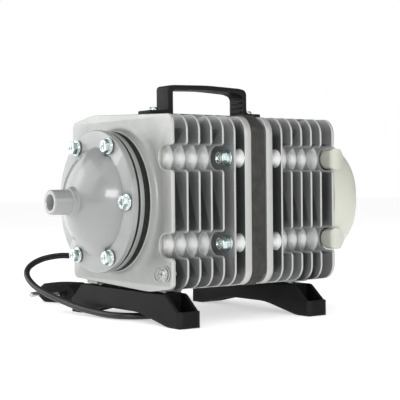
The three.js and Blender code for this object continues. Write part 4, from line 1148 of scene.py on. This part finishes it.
def way_to_plug(point, heading_from):
    """A short straight and a wide bend that bring the lead round into line with the plug's tail."""
    straight, radius = 6.8, 32.8
    x, y, z = point
    x -= straight * math.sin(heading_from)
    y += straight * math.cos(heading_from)
    centre = (x - radius * math.cos(heading_from), y - radius * math.sin(heading_from))
    finish = math.pi / 2 + PLUG["turn"]
    return [(a, b, z) for a, b in arc(centre, radius, heading_from, finish, 12)]


def coil_tie():
    """A thin strap round all the turns of the coil."""
    angle, half_width, thick = math.radians(205), 3.0, 0.35
    out, along = (math.cos(angle), math.sin(angle)), (-math.sin(angle), math.cos(angle))
    middle = 2 * CORD_R + 0.46
    rings = []
    for grow, side in ((thick, -1), (thick, 1), (0.0, 1), (0.0, -1)):
        half_r, half_h = 9.45 + grow, 4.68 + grow
        ring = []
        for a, b in rectangle(0, 0, half_r, half_h, 2.3):
            reach = COIL["r"] + a
            ring.append((COIL["x"] + reach * out[0] + side * half_width * along[0],
                         COIL["y"] + reach * out[1] + side * half_width * along[1], floor_z(middle + b)))
        rings.append(ring)
    return dress(mesh_object("lead_tie", *stacked(rings, closed=True)), FEET, "black_plastic")


def smooth_line(points, per_piece):
    """Centripetal Catmull-Rom points through a list."""
    p = [Vector(q) for q in points]
    p = [p[0] * 2 - p[1], *p, p[-1] * 2 - p[-2]]
    line = []
    for a, b, c, d in zip(p, p[1:], p[2:], p[3:]):
        t0 = 0.0
        t1 = t0 + max(1e-6, (b - a).length ** 0.5)
        t2 = t1 + max(1e-6, (c - b).length ** 0.5)
        t3 = t2 + max(1e-6, (d - c).length ** 0.5)
        for i in range(per_piece):
            t = t1 + (t2 - t1) * i / per_piece
            a1 = a * ((t1 - t) / (t1 - t0)) + b * ((t - t0) / (t1 - t0))
            a2 = b * ((t2 - t) / (t2 - t1)) + c * ((t - t1) / (t2 - t1))
            a3 = c * ((t3 - t) / (t3 - t2)) + d * ((t - t2) / (t3 - t2))
            b1 = a1 * ((t2 - t) / (t2 - t0)) + a2 * ((t - t0) / (t2 - t0))
            b2 = a2 * ((t3 - t) / (t3 - t1)) + a3 * ((t - t1) / (t3 - t1))
            line.append(b1 * ((t2 - t) / (t2 - t1)) + b2 * ((t - t1) / (t2 - t1)))
    line.append(p[-2])
    return line


PLUG = {"x": 19.6, "y": 127.9, "turn": math.radians(25), "half": (17.6, 7.4), "length": 36.0, "tail": 22.0}


def plug_point(along, across, up):
    """A point given from the plug's pin face: along its cord, across and up from its middle."""
    c, s = math.cos(PLUG["turn"]), math.sin(PLUG["turn"])
    return (PLUG["x"] + c * along - s * across, PLUG["y"] + s * along + c * across,
            floor_z(PLUG["half"][1] + 0.3 + up))


def lead():
    tail = PLUG["length"] + PLUG["tail"]
    line = smooth_line(LEAD_ROUTE + coil_turns() + [plug_point(tail - 3, 0, 0), plug_point(tail - 8, 0, 0)], 4)
    data = bpy.data.curves.new("mains_lead", "CURVE")
    data.dimensions = "3D"
    data.bevel_depth = CORD_R * MM
    data.bevel_resolution = 5
    data.use_fill_caps = True
    spline = data.splines.new("POLY")
    spline.points.add(len(line) - 1)
    for point, at in zip(spline.points, line):
        point.co = (*place(at), 1.0)
    spline.use_smooth = True
    piece = bpy.data.objects.new("mains_lead", data)
    bpy.context.scene.collection.objects.link(piece)
    dress(piece, SHEATH, "black_rubber", ["power_cord", "cord_coil"])
    length = sum((b - a).length for a, b in zip(line, line[1:])) * MM
    return piece, length


def strain_relief():
    face, tip = 64.0, 92.0
    corners = [(face - 18, 0, 0), (face - 18, 3.5, 0.5), (face + 0.3, 3.5, 0), (face + 0.3, 6.5, 0.4),
               (face + 2.6, 6.5, 0.8),
               (face + 3.4, 4.9, 0.8)]
    ribs = 6
    for i in range(ribs):
        at = face + 5 + i * 3.4
        big = 4.6 - 0.25 * i
        corners += [(at, big, 0.5), (at + 1.9, big - 0.1, 0.5), (at + 2.2, big - 0.75, 0.3),
                    (at + 3.2, big - 0.8, 0.3)]
    corners += [(tip - 2, 3.1, 0.3), (tip, 2.75, 0.3), (tip, 0, 0)]
    relief = lathe("lead_strain_relief", turned(corners), 48, "y", LEAD_EXIT)
    return dress(relief, RUBBER, "black_rubber", ["strain_relief"])


def plug():
    half_y, half_z = PLUG["half"]
    length, tail = PLUG["length"], PLUG["tail"]
    sides = 40

    def section(along, wide, high):
        side, top = high * (1 - 0.68), wide * (1 - 0.36)
        corners = [(-wide, -side), (-top, -high), (top, -high), (wide, -side)]
        corners += [(-a, -b) for a, b in corners]
        outline = rounded([(a, b, min(2, wide * 0.16)) for a, b in corners])
        lengths = [0.0]
        for p, q in zip(outline, outline[1:] + outline[:1]):
            lengths.append(lengths[-1] + (Vector(q) - Vector(p)).length)
        even = []
        for k in range(sides):
            target = lengths[-1] * k / sides
            j = max(i for i, value in enumerate(lengths[:-1]) if value <= target)
            p, q = Vector(outline[j]), Vector(outline[(j + 1) % len(outline)])
            even.append(tuple(p.lerp(q, (target - lengths[j]) / max(1e-6, lengths[j + 1] - lengths[j]))))
        return [plug_point(along, a, b) for a, b in even]

    def collar(along, radius):
        start = math.pi + math.atan2(0.32 * half_z, half_y)
        return [plug_point(along, a, b) for a, b in circle((0, 0), radius, sides, start)]

    rings = [section(0.0, half_y - 0.9, half_z - 0.9), section(0.25, half_y - 0.3, half_z - 0.3)]
    rings += [section(along, half_y * wide, half_z * high) for along, wide, high in (
        (0.9, 1, 1), (10, 1, 1), (16, 0.96, 0.99), (22, 0.84, 0.96), (28, 0.64, 0.90), (33, 0.45, 0.80))]
    rings += [collar(length - 0.5, 5.4), collar(length + 0.6, 4.9)]
    ribs = 5
    for i in range(ribs):
        at = length + 1.6 + i * (tail - 3) / ribs
        big = 4.9 - 0.36 * i
        rings += [collar(at, big), collar(at + 2.0, big - 0.1), collar(at + 2.2, big - 0.8),
                  collar(at + 3.3, big - 0.9)]
    rings += [collar(length + tail - 0.4, 2.75), collar(length + tail, 2.5)]
    body = mesh_object("plug_moulding", *stacked(rings), smooth=35)
    dress(body, FEET, "black_plastic", ["plug_body"])
    return [body, plug_pin(1, -1), plug_pin(2, 1)]


def plug_pin(number, side):
    def ring(along, radius):
        return [plug_point(along, a, b) for a, b in circle((side * 9.5, 0), radius, 28)]

    metal = [ring(-19.0, 0.9), ring(-18.7, 1.5), ring(-17.9, 1.9), ring(-17, 2.0), ring(-10, 2.0)]
    pin = mesh_object(f"plug_pin_metal_{number}", *stacked(metal))
    dress(pin, STEEL, "steel", [f"plug_pin_{number}"])
    sleeve = [ring(-10.2, 1.7), ring(-10.1, 1.95), ring(-0.4, 1.95), ring(1.5, 1.95)]
    cover = mesh_object(f"plug_pin_sleeve_{number}", *stacked(sleeve))
    dress(cover, FEET, "black_plastic")
    return pin


def declare_lead(piece, length, others):
    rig.cord(piece, exit=tuple(place(LEAD_ROUTE[0])), length=length, diameter=2 * CORD_R * MM, far_end="plug",
            stiffness="medium", lay="coiled", with_pieces=others)


# ---- inside ----
def valve_guard(low, thick, high, radius):
    """A flat plate that limits a valve's lift, on a short spigot."""
    plate, spigot, bore = low + thick, 2.7, 1.7
    return turned([(low, bore, 0.1), (low, radius, 0.3), (plate, radius, 0.3), (plate, spigot, 0.2),
                   (high, spigot, 0.1), (high, bore, 0.1)], True)


def moving_parts():
    """The piston assembly, both valves and the fixed pieces round them."""
    face = -1.5
    bush = [(102.6, 4.3, 0.3), (102.6, 8.6, 0.4), (104.7, 8.6, 0.3), (104.7, 6.6, 0.2), (121, 6.6, 0.4),
            (121, 4.3, 0.3)]
    for name, node, profile, material, slot, body in (
            ("piston_ring_seal", "piston_ring", tube(2.4, 5.6, 20.6, 22.85, 0.2, 0.3), RUBBER,
             "black_rubber", PISTON),
            ("intake_valve_flap", "intake_valve_disc", tube(-2.9, -1.8, 3.1, 13, 0.1, 0.3), RUBBER,
             "black_rubber", "intake_valve"),
            ("outlet_valve_flap", "outlet_valve_disc", tube(-14.8, -13.4, 3.1, 12.5, 0.1, 0.3), RUBBER,
             "black_rubber", "outlet_valve"),
            ("armature_core", "armature", tube(54.5, 73, 4.3, 17.6, 0.5, 0.8), IRON, "laminated_iron", PISTON),
            ("liner_tube", "cylinder_liner", tube(-5.5, 37.5, 23, 25, 0.3, 0.3), STEEL, "steel", HOUSING),
            ("spring_seat_washer", "spring_seat", tube(115.5, 117.7, 9.7, 15, 0.2, 0.4), STEEL, "steel",
             HOUSING),
            ("rod_bush", "guide_bush", turned(bush, True), NYLON, "nylon", HOUSING),
            ("intake_guard_plate", "intake_valve_guard", valve_guard(face - 3.6, 1.0, face - 0.3, 9), STEEL,
             "steel", PISTON),
            ("outlet_guard_plate", "outlet_valve_guard", valve_guard(-17.6, 1.2, -13.4, 9.5), STEEL,
             "steel", HOUSING)):
        dress(lathe(name, profile, 72), material, slot, [node], body)
    rod = bar("rod", face + 5.3, 116, 4, edge=0.6)
    dress(rod, STEEL, "steel", ["piston_rod"], PISTON)
    shape = bar("piston_body", face, 12, 22.6, edge=0.5, sides=96)
    groove = tube(2.1, 5.9, 20.2, 25, 0, 0)
    skirt = turned([(3.5, 7.6, 0.8), (3.5, 18, 1.5), (13, 18, 0), (13, 7.6, 0)], True)
    holes = [lathe("groove", groove, 96), lathe("skirt", skirt, 72),
             bar("bore", face - 1, 13, 1.7, edge=0, sides=24),
             bar("seat", face + 5, 13, 4.3, edge=0)]
    holes += drilled(circle((0, 0), 10.2, 6), face - 1, 5, 2)
    dress(cut(shape, holes), CAST, "cast_aluminium", ["piston"], PISTON)
    for name, node, head, tip, body in (("intake_screw", "intake_valve_screw", face - 3.9, face + 4.4, PISTON),
                                        ("outlet_screw", "outlet_valve_screw", -17.9, -10.3, HOUSING)):
        corners = [(head - 1.1, 0, 0), (head - 1.1, 2.0, 0.5), (head, 2.8, 0.2), (head, 1.4, 0),
                   (tip, 1.4, 0.3), (tip, 0, 0)]
        dress(lathe(name, turned(corners), 40), STEEL, "steel", [node], body)


def return_spring():
    low, high, radius, wire, turns = 73.5, 115.0, 12.0, 1.15, 6
    steps, sides = turns * 48, 14
    dead = 0.75
    rings = []
    for i in range(steps + 1):
        turn = turns * i / steps
        share = min(1.0, max(0.0, (turn - dead) / (turns - 2 * dead)))
        x = low + wire + turn * 0.05 + (high - low - 2 * wire - 0.3) * share
        a = 2 * math.pi * turn
        out = Vector((0, math.cos(a), math.sin(a)))
        side = Vector((1, 0, 0))
        centre = Vector((x, radius * math.cos(a), radius * math.sin(a)))
        rings.append([tuple(centre + (out * math.cos(b) + side * math.sin(b)) * wire)
                      for b in (2 * math.pi * k / sides for k in range(sides))])
    spring = mesh_object("coil_spring", *stacked(rings), smooth=60)
    spring.data.materials.append(STEEL)
    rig.slot(spring, "steel")
    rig.blend(spring, PISTON, HOUSING, start=place((low, 0, 0)), end=place((high, 0, 0)))
    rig.replaces(spring, "return_spring")


def electrics():
    """Two wound bobbins, below and above the bore, and the foam in the air inlet."""
    middle = 70.25
    inner = (8.7, 14.5)
    for place_name, side in (("lower", -1), ("upper", 1)):

        def solid(name, size, low, high, edge):
            return block(name, (middle - size[0], middle + size[0]), (-size[1], size[1]),
                         sorted((side * low, side * high)), edge)

        def sleeve(name, inner, outer, low, high, edge):
            return cut(solid(name, outer, low, high, edge), [solid("hole", inner, low - 1, high + 1, 0.3)])

        bobbin = sleeve(f"bobbin_frame_{place_name}", inner, (9.8, 15.6), 19.6, 34.6, 0.2)
        flanges = [sleeve("flange", inner, (18, 22), low, low + 1.2, 0.4) for low in (19.6, 33.4)]
        dress(combine(bobbin, flanges), NYLON, "nylon", [f"bobbin_{place_name}"])
        coil = sleeve(f"coil_pack_{place_name}", (10.2, 16.0), (17.4, 21.6), 21.1, 33.1, 1.6)
        dress(coil, COPPER, "copper_winding", [f"winding_{place_name}"])
    pad = bar("inlet_foam", 148.4, 166.4, 30, edge=1.5, sides=72)
    dress(pad, FOAM, "filter_foam", ["filter_foam"])


# ---- studio ----
def area_light(name, at, target, size, power):
    data = bpy.data.lights.new(name, "AREA")
    data.shape = "RECTANGLE"
    data.size, data.size_y = size
    data.energy = power
    light = bpy.data.objects.new(name, data)
    bpy.context.scene.collection.objects.link(light)
    light.location = at
    light.rotation_mode = "QUATERNION"
    light.rotation_quaternion = (Vector(target) - Vector(at)).to_track_quat("-Z", "Y")


def studio():
    """A white surround for the camera, a dimmer one for the object, a soft sun and five soft panels."""
    world = bpy.data.worlds.new("studio")
    bpy.context.scene.world = world
    world.use_nodes = True
    nodes, links = world.node_tree.nodes, world.node_tree.links
    seen = nodes.new("ShaderNodeLightPath").outputs["Is Camera Ray"]
    power = nodes.new("ShaderNodeMapRange")
    power.inputs["To Min"].default_value = 0.20
    power.inputs["To Max"].default_value = 1.0
    links.new(seen, power.inputs["Value"])
    nodes["Background"].inputs["Color"].default_value = (1.0, 1.0, 1.0, 1.0)
    links.new(power.outputs["Result"], nodes["Background"].inputs["Strength"])
    bpy.context.scene.view_settings.view_transform = "Standard"
    sun = bpy.data.lights.new("soft_sun", "SUN")
    sun.energy, sun.angle = 1.0, math.radians(70)
    sunlight = bpy.data.objects.new("soft_sun", sun)
    bpy.context.scene.collection.objects.link(sunlight)
    sunlight.rotation_mode = "QUATERNION"
    sunlight.rotation_quaternion = Vector((0.32, 0.30, -0.90)).to_track_quat("-Z", "Y")
    centre = (0.0, 0.0, 0.09)
    area_light("side", (0.35, -1.1, 0.45), centre, (0.8, 0.6), 2.6)
    crown, brow = place((-23.5, -32.9, 4.2)), place((-32.9, -12.4, 15.7))
    area_light("window", crown + 0.9 * Vector((-0.87, -0.43, 0.225)), crown, (0.34, 0.18), 2.0)
    area_light("softbox", brow + 1.2 * Vector((-0.726, 0.501, 0.471)), brow, (1.1, 0.8), 4.2)
    area_light("fill", (-0.9, -1.1, 0.22), centre, (1.3, 1.1), 3.0)
    area_light("left", (-0.55, 1.05, 0.38), centre, (1.0, 0.8), 4.0)
    bpy.data.objects["window"].visible_diffuse = False
    floor_size = 6.0
    mesh = bpy.data.meshes.new("studio_floor")
    corners = [(a * floor_size, b * floor_size, FLOOR_Z) for a, b in ((-1, -1), (1, -1), (1, 1), (-1, 1))]
    mesh.from_pydata(corners, [], [(0, 1, 2, 3)])
    floor = bpy.data.objects.new("studio_floor", mesh)
    bpy.context.scene.collection.objects.link(floor)
    s = Shader("studio_floor", rough=0.8, specular=0.1)
    s.bsdf.inputs["Base Color"].default_value = (0.94, 0.94, 0.94, 1.0)
    s.bsdf.inputs["Emission Color"].default_value = (1.0, 1.0, 1.0, 1.0)
    s.bsdf.inputs["Emission Strength"].default_value = 0.52
    floor.data.materials.append(s.material)
    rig.stage(floor)


make_camera()
mains_lead, lead_length = lead()
plug_pieces = plug()
relief = strain_relief()
declare_lead(mains_lead, lead_length, [*plug_pieces, relief, coil_tie()])
front_housing()
rear_housing()
outlet_cover()
head_stack()
cover_bolts()
clamp_bolts()
screws()
stator()
rear_cover()
handle()
foot("front_foot_moulding", "front_foot", 0.3, 18.1, FOOT_SCREWS_X[0])
foot("rear_foot_moulding", "rear_foot", 108.6, 126.4, FOOT_SCREWS_X[1])
moving_parts()
return_spring()
electrics()
studio()

SEEN_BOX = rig.bounds()
with open("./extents.json", "w") as out:
    json.dump({"cad": [list(c) for c in CAD_BOX], "visual": [list(c) for c in SEEN_BOX]}, out)
